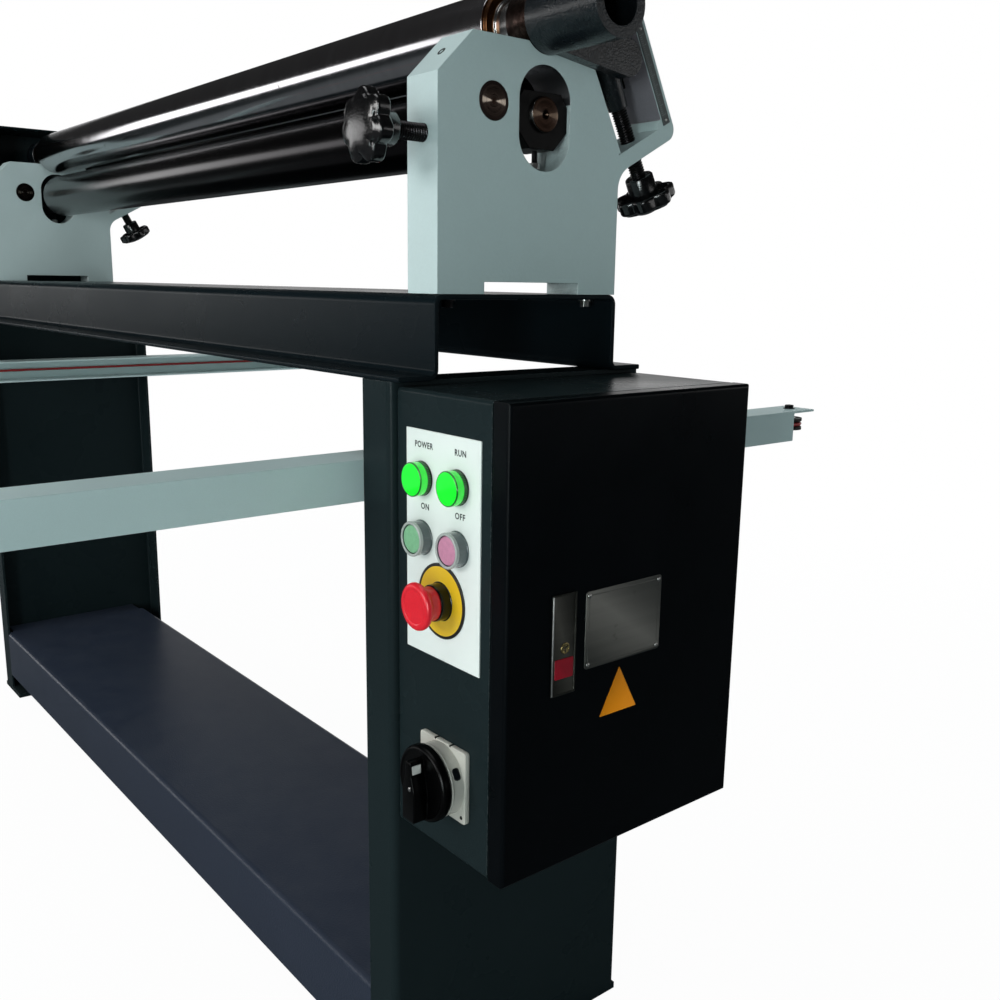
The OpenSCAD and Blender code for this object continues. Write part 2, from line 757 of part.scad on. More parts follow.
// Motor housing: folded shell under the gear guard, closed by the leg, with cooling slots
module motor_housing() {
    mid_y = cab_front_y + cab_depth / 2;
    side_y = vent_len / 2 + vent_w;
    wall_x = leg_out_x + motor_box_w - cab_t;
    color("#2c3437") mirror([1, 0, 0]) difference() {
        along_x(leg_out_x, motor_box_w)
            round_outline(cab_front_y, cab_rear_y, cab_bottom, cab_top, cab_fold_r);
        along_x(leg_out_x - 1, motor_box_w + 1 - cab_t) round_outline(cab_front_y + cab_t, cab_rear_y - cab_t,
            cab_bottom + cab_t, cab_top - cab_t, cab_fold_r - cab_t);
        for (row = [0:vent_count - 1]) for (side = [-1, 1])
            along_x(wall_x - 1, cab_t + 2)
                translate([mid_y + side * side_y, cab_bottom + vent_low + row * vent_pitch]) vent_outline();
    }
}

// Cabinet: sheet box open towards the door, with cut-outs for the devices
module cabinet_body() {
    color("#2b3235") {
        difference() {
            along_x(cab_x, cab_w) round_outline(cab_front_y, cab_rear_y, cab_bottom, cab_top, cab_fold_r);
            along_x(cab_x + cab_t, cab_w) round_outline(cab_front_y + cab_t, cab_rear_y - cab_t,
                cab_bottom + cab_t, cab_top - cab_t, cab_fold_r - cab_t);
            for (side = [-1, 1]) for (z = [lamp_z, button_z])
                rod_y(columns_x + side * column_half, cab_front_y - 1, cab_t + 2, device_hole_d, z);
            rod_y(panel_mid_x, cab_front_y - 1, cab_t + 2, device_hole_d, mushroom_z);
            rod_y(switch_x, cab_front_y - 1, cab_t + 2, device_hole_d, switch_z);
        }
        for (z = hinge_zs) difference() {
            union() {
                translate([hinge_x, hinge_y, z]) cylinder(h = knuckle_h, d = knuckle_d);
                translate([hinge_x - hinge_leaf_w, cab_rear_y, z])
                    cube([hinge_leaf_w, knuckle_d / 2, knuckle_h]);
            }
            translate([hinge_x, hinge_y, z - 1])
                cylinder(h = knuckle_h + 2, d = hinge_pin_d + 2 * run_gap);
        }
    }
}

// Door's form, set in from its outside, with folded edges round the face
module tray(x0, inset) {
    x1 = door_x + door_t - inset;
    y0 = cab_front_y + inset;
    y1 = cab_rear_y - inset;
    z0 = cab_bottom + inset;
    z1 = cab_top - inset;
    intersection() {
        translate([0, 0, z0]) linear_extrude(z1 - z0) round_end(x0, x1, y0, y1, cab_fold_r - inset);
        translate([0, y1, 0]) rotate([90, 0, 0]) linear_extrude(y1 - y0)
            round_end(x0, x1, z0, z1, cab_fold_r - inset);
    }
}

// Door: folded tray with its hinge knuckles and pins
module cabinet_door() {
    color("#1d2224") {
        difference() {
            tray(door_x, 0);
            tray(door_x - 1, cab_t);
        }
        for (z = hinge_zs) {
            translate([hinge_x, hinge_y, z + knuckle_h + seat_gap])
                cylinder(h = knuckle_h, d = knuckle_d);
            translate([hinge_x + 1, cab_rear_y - 1, z + knuckle_h + seat_gap])
                cube([hinge_leaf_w, knuckle_d / 2 + 1, knuckle_h]);
            translate([hinge_x, hinge_y, z - 2]) cylinder(h = knuckle_h + 8, d = hinge_pin_d);
        }
    }
}

module door_latch() {
    color("#b5b5b0") translate([door_x + door_t, cab_front_y + latch_front, cab_bottom + latch_low])
        cube([latch_t, latch_w, latch_h]);
}

// Bare mounting plate on four studs at the cabinet's back
module mounting_plate() {
    plate_y0 = cab_front_y + 60;
    plate_w = cab_depth - 90;
    plate_h = cab_h - 60;
    plate_z0 = cab_bottom + 30;
    stud_inset = 12;
    color("#c9c9c2") {
        translate([cab_x + cab_t + stud_len - 8, plate_y0, plate_z0]) cube([2, plate_w, plate_h]);
        for (y = [stud_inset, plate_w - stud_inset]) for (z = [stud_inset, plate_h - stud_inset])
            rod_x(cab_x + cab_t, stud_len, 8, plate_y0 + y, plate_z0 + z);
    }
}

module control_panel() {
    color("#e9ebea") difference() {
        translate([panel_mid_x - panel_w / 2, panel_face_y, panel_top - panel_h])
            cube([panel_w, panel_t, panel_h]);
        for (side = [-1, 1]) for (z = [lamp_z, button_z])
            rod_y(columns_x + side * column_half, panel_face_y - 1, panel_t + 2, device_hole_d, z);
        rod_y(panel_mid_x, panel_face_y - 1, panel_t + 2, device_hole_d, mushroom_z);
    }
}

// Signal lamp: bezel, stepped lens and the body behind the panel
module lamp(x) {
    bezel_t = 3;
    lens_step = 2;
    rod_y(x, panel_face_y - bezel_t, bezel_t, lamp_d, lamp_z);
    rod_y(x, panel_face_y - lamp_out + lens_step, lamp_out - lens_step, lamp_d - 1.5, lamp_z);
    rod_y(x, panel_face_y - lamp_out, lens_step + 1, lamp_d - 4, lamp_z);
    rod_y(x, panel_face_y - 1, device_depth, device_hole_d - 1, lamp_z);
}

module lamp_power() { color("#13c93a") lamp(columns_x - column_half); }
module lamp_run() { color("#13c93a") lamp(columns_x + column_half); }

// Collars that carry the ON and OFF buttons
module button_collars() {
    color("#8e9494") for (side = [-1, 1]) difference() {
        union() {
            rod_y(columns_x + side * column_half, panel_face_y - button_out, button_out, button_collar_d,
                  button_z);
            rod_y(columns_x + side * column_half, panel_face_y - 1, device_depth, device_hole_d - 1,
                  button_z);
        }
        rod_y(columns_x + side * column_half, panel_face_y - button_out - 1, button_out + 1 - cap_floor,
              button_cap_d + 2 * run_gap, button_z);
    }
}

module button_cap(x) {
    cap_t = button_out - cap_sink - button_travel - cap_floor - seat_gap;
    rod_y(x, panel_face_y - button_out + cap_sink, cap_t, button_cap_d, button_z);
}

module button_on() { color("#8fc79c") button_cap(columns_x - column_half); }
module button_off() { color("#d98fa8") button_cap(columns_x + column_half); }

// Ring plate and black collar of the emergency button, with the body behind the panel
module emergency_base() {
    collar_out = 11;
    color("#d9a520") difference() {
        union() {
            rod_y(panel_mid_x, panel_face_y - ring_t, ring_t, ring_d, mushroom_z);
            rod_y(panel_mid_x, panel_face_y - collar_out, collar_out, skirt_d + 2 * seat_gap + 3, mushroom_z);
            rod_y(panel_mid_x, panel_face_y - 1, device_depth, device_hole_d - 1, mushroom_z);
        }
        rod_y(panel_mid_x, panel_face_y - collar_out - 1, collar_out, skirt_d + 2 * seat_gap, mushroom_z);
        rod_y(panel_mid_x, panel_face_y - collar_out - 1, collar_out + 16, stem_d + 2 * run_gap, mushroom_z);
    }
}

// Emergency button's head: round rim, hollow neck, skirt and stem, turned about the axis
module emergency_button() {
    rim_r = 3;
    rim_t = 7;
    neck_r = 12;
    skirt_in = mushroom_out - mushroom_travel - 3;
    color("#cf2127") translate([panel_mid_x, panel_face_y - mushroom_out, mushroom_z]) rotate([-90, 0, 0])
        rotate_extrude() {
            square([mushroom_d / 2 - rim_r, rim_t]);
            translate([0, rim_r]) square([mushroom_d / 2, rim_t - 2 * rim_r]);
            for (z = [rim_r, rim_t - rim_r]) translate([mushroom_d / 2 - rim_r, z]) circle(r = rim_r);
            difference() {
                square([skirt_d / 2, skirt_in]);
                translate([skirt_d / 2 + neck_r - 1.5, rim_t + 4]) circle(r = neck_r);
            }
            square([stem_d / 2, mushroom_out + 8]);
        }
}

// Main switch: square plate and round collar, with the body behind the panel
module switch_base() {
    side = switch_side;
    color("#c9c6ba") difference() {
        union() {
            translate([switch_x - side / 2, cab_front_y - switch_plate_t, switch_z - side / 2])
                cube([side, switch_plate_t, side]);
            rod_y(switch_x, cab_front_y - switch_collar_out, switch_collar_out, side - 4, switch_z);
            rod_y(switch_x, cab_front_y - 1, device_depth, device_hole_d - 1, switch_z);
        }
        rod_y(switch_x, cab_front_y - switch_collar_out - 1, switch_collar_out - 2, shaft_d + 2 * run_gap,
              switch_z);
    }
}

// Main switch's handle: disc, tapered grip and shaft
module switch_handle() {
    disc_y = cab_front_y - switch_collar_out - seat_gap - switch_disc_t;
    grip_top_r = 6;
    grip_len = (switch_handle_d - grip_w) / 2 - 1;
    color("#101112") {
        rod_y(switch_x, disc_y, switch_disc_t, switch_handle_d, switch_z);
        rod_y(switch_x, disc_y + 1, switch_disc_t + 10, shaft_d, switch_z);
        translate([switch_x, disc_y + 1, switch_z]) rotate([90, 0, 0]) linear_extrude(grip_out + 1)
            tapered_link([0, -grip_len], grip_w / 2, [0, grip_len], grip_top_r);
    }
}

// Arm: a channel open towards the machine's middle, with a longer top flange
module arm() {
    color("#8e9c99") difference() {
        union() {
            translate([arm_x - arm_flange_w, -arm_reach, arm_top_h - arm_h])
                cube([arm_flange_w, 2 * arm_reach, arm_h]);
            translate([arm_x - arm_flange_w, -arm_reach - arm_lip, arm_top_h - arm_t])
                cube([arm_flange_w, 2 * (arm_reach + arm_lip), arm_t]);
        }
        translate([arm_x - arm_flange_w - 1, -arm_reach - 1, arm_top_h - arm_h + arm_t])
            cube([arm_flange_w + 1 - arm_t, 2 * arm_reach + 2, arm_h - 2 * arm_t]);
    }
}

module arm_right() { arm(); }
module arm_left() { mirror([1, 0, 0]) arm(); }

// Grooved pulleys on bolts under the arms' top flanges
module trip_pulleys() {
    color("#1a1a1b") for (sx = [-1, 1]) for (sy = [-1, 1])
        translate([sx * rope_x, sy * rope_y, rope_z]) {
            difference() {
                translate([0, 0, -8]) cylinder(h = 16, d = pulley_d);
                rotate_extrude() translate([(pulley_d - rope_d) / 2, 0]) circle(d = rope_d + 2 * seat_gap);
            }
            translate([0, 0, -12]) cylinder(h = arm_top_h - arm_t - rope_z + 12, d = 8);
        }
}

// Red rope: a taut loop round the four pulleys
rope_bend = (pulley_d - rope_d) / 2;

module trip_rope_sides() {
    color("#b3262b") for (side = [-1, 1])
        rod_y(side * (rope_x + rope_bend), -rope_y, 2 * rope_y, rope_d, rope_z);
}

module trip_rope_ends() {
    color("#b3262b") for (end = [0, 1]) mirror([0, end, 0]) {
        rod_x(-rope_x, 2 * rope_x, rope_d, rope_y + rope_bend, rope_z);
        for (side = [0, 1]) mirror([side, 0, 0]) translate([rope_x, rope_y, rope_z])
            rotate_extrude(angle = 90) translate([rope_bend, 0]) circle(d = rope_d);
    }
}

bed();
leg_right();
leg_left();
shelf();
end_frame_right();
end_frame_left();
release_housing();
top_bearing_left();
rear_blocks();
lower_blocks();
pivot_pins();
stop_screws();
guide_scales();
top_roll();
lower_roll();
rear_roll();
front_screw_right();
front_knob_right();
front_screw_left();
front_knob_left();
rear_screw_right();
rear_knob_right();
rear_screw_left();
rear_knob_left();
gear_guard();
motor_housing();
cabinet_body();
cabinet_door();
door_latch();
mounting_plate();
control_panel();
lamp_power();
lamp_run();
button_on();
button_off();
button_collars();
emergency_base();
emergency_button();
switch_base();
switch_handle();
arm_right();
arm_left();
trip_pulleys();
trip_rope_sides();
trip_rope_ends();
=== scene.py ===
import json
import math

import bmesh
import bpy
from mathutils import Matrix, Vector

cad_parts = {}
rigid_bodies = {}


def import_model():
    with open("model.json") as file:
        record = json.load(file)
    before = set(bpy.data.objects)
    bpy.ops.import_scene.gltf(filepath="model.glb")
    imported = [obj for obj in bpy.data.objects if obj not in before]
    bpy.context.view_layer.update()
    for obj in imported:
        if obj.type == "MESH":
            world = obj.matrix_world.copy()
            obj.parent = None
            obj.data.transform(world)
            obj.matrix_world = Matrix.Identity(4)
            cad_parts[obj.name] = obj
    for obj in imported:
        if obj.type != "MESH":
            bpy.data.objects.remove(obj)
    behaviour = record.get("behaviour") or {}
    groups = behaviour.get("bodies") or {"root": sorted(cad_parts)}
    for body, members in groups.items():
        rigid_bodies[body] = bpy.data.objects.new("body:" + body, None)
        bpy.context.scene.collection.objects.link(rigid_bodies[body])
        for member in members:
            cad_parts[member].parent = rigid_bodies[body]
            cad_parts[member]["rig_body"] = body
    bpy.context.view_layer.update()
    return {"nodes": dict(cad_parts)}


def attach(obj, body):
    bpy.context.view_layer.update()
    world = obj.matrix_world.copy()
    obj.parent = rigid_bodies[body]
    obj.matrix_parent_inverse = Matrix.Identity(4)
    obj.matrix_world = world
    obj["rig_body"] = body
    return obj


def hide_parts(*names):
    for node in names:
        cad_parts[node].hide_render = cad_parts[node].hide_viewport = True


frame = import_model()
scene = bpy.context.scene
mm = 0.001
bodyOf = {name: piece["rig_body"] for name, piece in frame["nodes"].items()}

# Camera, floor, world and lamps

cameraValues = {
    "place": (1.5106, -0.6673, 0.8466), "heading": 50.57, "tilt": 78.09, "roll": 0.82, "lens": 37.285,
}
lightValues = {
    "floorColour": (0.86, 0.87, 0.88),
    "floorGlow": 0.97,  # how much of its own white the floor shows the camera near the object
    "floorInGloss": (0.13, 0.135, 0.14),
    "farFrom": 1.6,  # metres from the middle where the floor starts to fade to plain white
    "farTo": 3.2,
    "ambient": (0.150, 0.180, 0.182),
    "band": 1.15,  # pale backdrop behind the object along the horizon, as metal sees it
    "bandTop": (0.15, 0.27),
    "bandFrom": (0.05, 0.30),
    "ceiling": 0.025,  # dim ceiling in the reflections
    "stripAim": (-0.853, -0.522, 0.0),  # long low window that lays a bright strip along the top roll
    "stripCos": (0.945, 0.965),
    "stripFrom": (-0.032, -0.008),
    "stripTo": (0.150, 0.185),
    "strip": 2.6,
}
windowValues = [
    # aim, inner and outer cosine, strength: windows that only gloss sees
    ((0.50, -0.85, 0.14), 0.992, 0.975, 7.0),
]
lampValues = [
    # name, place, target, size, power, colour
    ("keyLamp", (0.2, -3.4, 1.5), (0.6, -0.1, 0.7), (1.8, 1.2), 58, (1.0, 0.99, 0.98)),
    ("topLamp", (0.2, -0.8, 3.2), (0.5, 0.0, 0.9), (1.8, 1.2), 16, (0.97, 0.99, 1.0)),
    ("edgeLamp", (2.4, -2.8, 0.7), (0.8, -0.1, 0.6), (0.5, 1.2), 31, (0.86, 1.0, 1.0)),
]
fillValues = [  # lamps behind and at the drive end, left out of reflections
    ("backLamp", (-0.6, 3.6, 2.0), (0.0, 0.1, 0.6), (2.0, 1.6), 70, (0.97, 1.0, 1.0)),
    ("driveLamp", (-3.8, -0.4, 1.8), (-0.9, 0.0, 0.6), (2.0, 1.6), 55, (0.97, 1.0, 1.0)),
]


def makeCamera():
    data = bpy.data.cameras.new("viewCamera")
    data.lens = cameraValues["lens"]
    data.sensor_width = 36
    data.clip_end = 60
    camera = bpy.data.objects.new("viewCamera", data)
    scene.collection.objects.link(camera)
    turn = Matrix.Rotation(math.radians(cameraValues["heading"]), 4, "Z")
    turn = turn @ Matrix.Rotation(math.radians(cameraValues["tilt"]), 4, "X")
    turn = turn @ Matrix.Rotation(math.radians(cameraValues["roll"]), 4, "Z")
    camera.matrix_world = Matrix.Translation(cameraValues["place"]) @ turn
    scene.camera = camera


def setInputs(tree, node, inputs):  # a socket is linked, anything else is set
    for key, value in inputs.items():
        if isinstance(value, bpy.types.NodeSocket):
            tree.links.new(value, node.inputs[key])
        else:
            node.inputs[key].default_value = value


def addNode(tree, kind, inputs=None, **settings):
    node = tree.nodes.new(kind)
    for key, value in settings.items():
        setattr(node, key, value)
    setInputs(tree, node, inputs or {})
    return node


def maths(tree, operation, *values, clamp=False):
    node = addNode(tree, "ShaderNodeMath", dict(enumerate(values)), operation=operation, use_clamp=clamp)
    return node.outputs[0]


def plus(tree, *values, clamp=False):
    return maths(tree, "ADD", *values, clamp=clamp)


def minus(tree, *values, clamp=False):
    return maths(tree, "SUBTRACT", *values, clamp=clamp)


def times(tree, *values, clamp=False):
    return maths(tree, "MULTIPLY", *values, clamp=clamp)


def vectorMaths(tree, operation, *values):
    return addNode(tree, "ShaderNodeVectorMath", dict(enumerate(values)), operation=operation)


def mixColour(tree, share, low, high, blend="MIX"):
    node = addNode(tree, "ShaderNodeMix", {0: share, 6: low, 7: high}, data_type="RGBA", blend_type=blend)
    return node.outputs[2]


def remap(tree, value, fromLow, fromHigh, toLow=0.0, toHigh=1.0):
    inputs = {"Value": value, "From Min": fromLow, "From Max": fromHigh, "To Min": toLow, "To Max": toHigh}
    return addNode(tree, "ShaderNodeMapRange", inputs, interpolation_type="SMOOTHSTEP").outputs["Result"]


def noiseOf(tree, place, scale, detail=2.0, rough=0.5):
    inputs = {"Vector": place, "Scale": scale, "Detail": detail, "Roughness": rough}
    return addNode(tree, "ShaderNodeTexNoise", inputs).outputs["Fac"]


def rgba(colour):
    return (*colour, 1.0)


def makeWorld():
    world = bpy.data.worlds.new("studio")
    world.use_nodes = True
    tree = world.node_tree
    tree.nodes.clear()
    path = addNode(tree, "ShaderNodeLightPath")
    seen = maths(tree, "MAXIMUM", path.outputs["Is Camera Ray"], path.outputs["Is Transmission Ray"])
    coords = addNode(tree, "ShaderNodeTexCoord")
    aim = coords.outputs["Generated"]
    parts = addNode(tree, "ShaderNodeSeparateXYZ", {0: aim}).outputs
    # Glossy rays see the pale backdrop along the horizon, a dim ceiling over it and a few windows
    low, high = lightValues["bandTop"]
    band = remap(tree, parts["Z"], low, high, lightValues["band"] - lightValues["ceiling"], 0.0)
    behind = remap(tree, parts["Y"], *lightValues["bandFrom"])
    glow = plus(tree, times(tree, band, behind), lightValues["ceiling"])
    near = vectorMaths(tree, "DOT_PRODUCT", aim, lightValues["stripAim"])
    strip = remap(tree, near.outputs["Value"], *lightValues["stripCos"], 0.0, lightValues["strip"])
    strip = times(tree, strip, remap(tree, parts["Z"], *lightValues["stripFrom"]))
    strip = times(tree, strip, remap(tree, parts["Z"], *lightValues["stripTo"], 1.0, 0.0))
    glow = plus(tree, glow, strip)
    for place, inner, outer, strength in windowValues:
        toward = tuple(Vector(place).normalized())
        near = vectorMaths(tree, "DOT_PRODUCT", aim, toward).outputs["Value"]
        glow = plus(tree, glow, remap(tree, near, outer, inner, 0.0, strength))
    glossy = addNode(tree, "ShaderNodeCombineColor", {0: glow, 1: glow, 2: glow}).outputs[0]
    ambient = lightValues["ambient"]
    soft = mixColour(tree, path.outputs["Is Glossy Ray"], rgba(ambient), glossy)
    colour = mixColour(tree, seen, soft, (1, 1, 1, 1))
    back = addNode(tree, "ShaderNodeBackground", {0: colour, 1: 1.0})
    out = addNode(tree, "ShaderNodeOutputWorld")
    tree.links.new(back.outputs[0], out.inputs[0])
    scene.world = world


def makeFloor():
    mesh = bpy.data.meshes.new("studioFloor")
    far = 30
    mesh.from_pydata([(-far, -far, 0), (far, -far, 0), (far, far, 0), (-far, far, 0)], [], [(0, 1, 2, 3)])
    floor = bpy.data.objects.new("studioFloor", mesh)
    floor.location.z = -0.5 * mm
    scene.collection.objects.link(floor)
    material = bpy.data.materials.new("floorPale")
    material.use_nodes = True
    tree = material.node_tree
    tree.nodes.clear()
    path = addNode(tree, "ShaderNodeLightPath")
    spot = addNode(tree, "ShaderNodeTexCoord").outputs["Object"]
    reach = vectorMaths(tree, "LENGTH", spot).outputs["Value"]
    plain = remap(tree, reach, lightValues["farFrom"], lightValues["farTo"], lightValues["floorGlow"], 1.0)
    seen = times(tree, path.outputs["Is Camera Ray"], plain)
    tone = mixColour(tree, path.outputs["Is Glossy Ray"], rgba(lightValues["floorColour"]),
                     rgba(lightValues["floorInGloss"]))
    body = addNode(tree, "ShaderNodeBsdfDiffuse", {"Color": tone})
    glow = addNode(tree, "ShaderNodeEmission", {"Color": (1, 1, 1, 1), "Strength": 1.0})
    mix = addNode(tree, "ShaderNodeMixShader", {0: seen, 1: body.outputs[0], 2: glow.outputs[0]})
    out = addNode(tree, "ShaderNodeOutputMaterial")
    tree.links.new(mix.outputs[0], out.inputs[0])
    mesh.materials.append(material)


def makeLamps(values, inGloss):
    for name, place, target, size, power, colour in values:
        data = bpy.data.lights.new(name, "AREA")
        data.shape = "RECTANGLE"
        data.size, data.size_y = size
        data.energy = power
        data.color = colour
        lamp = bpy.data.objects.new(name, data)
        lamp.location = place
        lamp.rotation_euler = (Vector(target) - Vector(place)).to_track_quat("-Z", "Y").to_euler()
        lamp.visible_glossy = inGloss
        scene.collection.objects.link(lamp)


makeCamera()
makeWorld()
makeFloor()
makeLamps(lampValues, True)
makeLamps(fillValues, False)
scene.view_settings.view_transform = "Standard"
print("camera, floor, world and lamps made")

# Shader groups that several finishes share


def newGroup(name, inputs, outputs, kind="ShaderNodeTree"):
    tree = bpy.data.node_groups.new(name, kind)
    for key, kind, value in inputs:
        socket = tree.interface.new_socket(name=key, in_out="INPUT", socket_type="NodeSocket" + kind)
        if value is not None:
            socket.default_value = value
    for key, kind in outputs:
        tree.interface.new_socket(name=key, in_out="OUTPUT", socket_type="NodeSocket" + kind)
    return tree, tree.nodes.new("NodeGroupInput").outputs, tree.nodes.new("NodeGroupOutput").inputs


def useGroup(tree, group, inputs):
    return addNode(tree, "ShaderNodeGroup", inputs, node_tree=group).outputs


def makeToneFilm():  # slow changes of tone and a fine grain, for paint and plastic
    tree, start, end = newGroup("toneFilm", [
        ("Place", "Vector", None), ("Colour", "Color", (0.5, 0.5, 0.5, 1)), ("Tone", "Float", 0.1),
        ("Patch", "Float", 12.0), ("Grain", "Float", 900.0)],
        [("Colour", "Color"), ("Rough", "Float"), ("Height", "Float")])
    patch = noiseOf(tree, start["Place"], start["Patch"], 4.0, 0.6)
    speck = noiseOf(tree, start["Place"], start["Grain"], 1.0)
    swing = plus(tree, minus(tree, patch, 0.5),
                 times(tree, minus(tree, speck, 0.5), 0.5))
    tone = times(tree, start["Tone"], 2.0)
    value = plus(tree, 1.0, times(tree, swing, tone))
    tinted = addNode(tree, "ShaderNodeHueSaturation", {"Color": start["Colour"], "Value": value})
    tree.links.new(tinted.outputs[0], end["Colour"])
    tree.links.new(minus(tree, patch, 0.5), end["Rough"])
    tree.links.new(speck, end["Height"])
    return tree


# The mask lightens outside edges: partly wear, partly a painted highlight where the rounded edges catch
# light.
def makeEdgeWearAndGlint():  # mask on outside edges, broken up, and a normal that rounds them
    tree, start, end = newGroup("edgeWearAndGlint", [
        ("Place", "Vector", None), ("Radius", "Float", 0.0012), ("Reach", "Float", 0.5),
        ("Break", "Float", 60.0)],
        [("Mask", "Float"), ("Normal", "Vector")])
    soft = addNode(tree, "ShaderNodeBevel", {"Radius": start["Radius"]}, samples=4)
    flat = addNode(tree, "ShaderNodeNewGeometry")
    same = vectorMaths(tree, "DOT_PRODUCT", soft.outputs[0], flat.outputs["Normal"])
    edge = remap(tree, minus(tree, 1.0, same.outputs["Value"]), 0.01, 0.2)
    patchy = remap(tree, noiseOf(tree, start["Place"], start["Break"], 4.0, 0.65), 0.42, 0.62)
    mask = times(tree, times(tree, edge, patchy), start["Reach"], clamp=True)
    tree.links.new(mask, end["Mask"])
    tree.links.new(soft.outputs[0], end["Normal"])
    return tree


def makeDustFilm():  # thin dust on what faces up
    tree, start, end = newGroup("dustFilm", [("Place", "Vector", None), ("Amount", "Float", 0.1)],
                                [("Mask", "Float")])
    facing = addNode(tree, "ShaderNodeNewGeometry")
    up = addNode(tree, "ShaderNodeSeparateXYZ", {0: facing.outputs["Normal"]}).outputs["Z"]
    settled = remap(tree, up, 0.55, 0.98)
    uneven = remap(tree, noiseOf(tree, start["Place"], 26.0, 5.0, 0.7), 0.3, 0.75)
    mask = times(tree, times(tree, settled, uneven), start["Amount"])
    tree.links.new(mask, end["Mask"])
    return tree


def makeRingMarks():  # turning marks round an axis along X, Y or Z, set by Across
    tree, start, end = newGroup("ringMarks", [
        ("Place", "Vector", None), ("Centre", "Vector", (0, 0, 0)), ("Across", "Vector", (0, 1, 1)),
        ("Rings", "Float", 1400.0)], [("Height", "Float"), ("Radius", "Float")])
    away = vectorMaths(tree, "SUBTRACT", start["Place"], start["Centre"])
    flat = vectorMaths(tree, "MULTIPLY", away.outputs[0], start["Across"])
    radius = vectorMaths(tree, "LENGTH", flat.outputs[0]).outputs["Value"]
    count = times(tree, radius, start["Rings"])
    rings = addNode(tree, "ShaderNodeTexNoise", {"W": count, "Scale": 1.0, "Detail": 2.0},
                    noise_dimensions="1D")
    tree.links.new(rings.outputs["Fac"], end["Height"])
    tree.links.new(radius, end["Radius"])
    return tree


def makeGrindLines():  # long fine lines, drawn out by Stretch
    tree, start, end = newGroup("grindLines", [
        ("Place", "Vector", None), ("Stretch", "Vector", (2200, 20, 20))],
        [("Height", "Float"), ("Broad", "Float")])
    drawn = vectorMaths(tree, "MULTIPLY", start["Place"], start["Stretch"])
    tree.links.new(noiseOf(tree, drawn.outputs[0], 1.0, 3.0, 0.6), end["Height"])
    broad = addNode(tree, "ShaderNodeVectorMath", {0: drawn.outputs[0], 3: 0.06}, operation="SCALE")
    tree.links.new(noiseOf(tree, broad.outputs[0], 1.0, 4.0, 0.6), end["Broad"])
    return tree


def makeHammerSkin():  # shallow cells of hammer-finish paint
    tree, start, end = newGroup("hammerSkin", [("Place", "Vector", None), ("Cells", "Float", 420.0)],
                                [("Height", "Float"), ("MottleAndGlint", "Float")])
    warp = addNode(tree, "ShaderNodeTexNoise", {"Vector": start["Place"], "Scale": 260.0, "Detail": 2.0})
    moved = addNode(tree, "ShaderNodeMix", {0: 0.004, 4: start["Place"], 5: warp.outputs["Color"]},
                    data_type="VECTOR")
    cells = addNode(tree, "ShaderNodeTexVoronoi", {"Vector": moved.outputs[1], "Scale": start["Cells"],
                    "Smoothness": 0.7}, feature="SMOOTH_F1")
    tree.links.new(remap(tree, cells.outputs["Distance"], 0.1, 0.75), end["Height"])
    # Lighter cell rims: the hammer finish's own mottle and a painted glint.
    tree.links.new(remap(tree, cells.outputs["Distance"], 0.45, 0.7), end["MottleAndGlint"])
    return tree


def makeStains():  # broken patches for oil, rust bloom and soot
    tree, start, end = newGroup("stains", [
        ("Place", "Vector", None), ("Scale", "Float", 40.0), ("Low", "Float", 0.5), ("High", "Float", 0.7)],
        [("Mask", "Float")])
    field = noiseOf(tree, start["Place"], start["Scale"], 6.0, 0.68)
    spread = addNode(tree, "ShaderNodeMapRange", {"Value": field, "From Min": start["Low"],
                     "From Max": start["High"]}, interpolation_type="SMOOTHSTEP")
    tree.links.new(spread.outputs["Result"], end["Mask"])
    return tree


toneFilm = makeToneFilm()
edgeWearAndGlint = makeEdgeWearAndGlint()
dustFilm = makeDustFilm()
ringMarks = makeRingMarks()
grindLines = makeGrindLines()
hammerSkin = makeHammerSkin()
stains = makeStains()


# Finishes

def startMaterial(name):
    material = bpy.data.materials.new(name)
    material.use_nodes = True
    tree = material.node_tree
    tree.nodes.clear()
    shader = addNode(tree, "ShaderNodeBsdfPrincipled")
    addNode(tree, "ShaderNodeOutputMaterial", {"Surface": shader.outputs[0]})
    place = addNode(tree, "ShaderNodeTexCoord").outputs["Object"]
    return material, tree, shader, place


def bumpOf(tree, height, depth, normal=None, strength=1.0):
    inputs = {"Height": height, "Distance": depth, "Strength": strength}
    if normal is not None:
        inputs["Normal"] = normal
    return addNode(tree, "ShaderNodeBump", inputs).outputs[0]


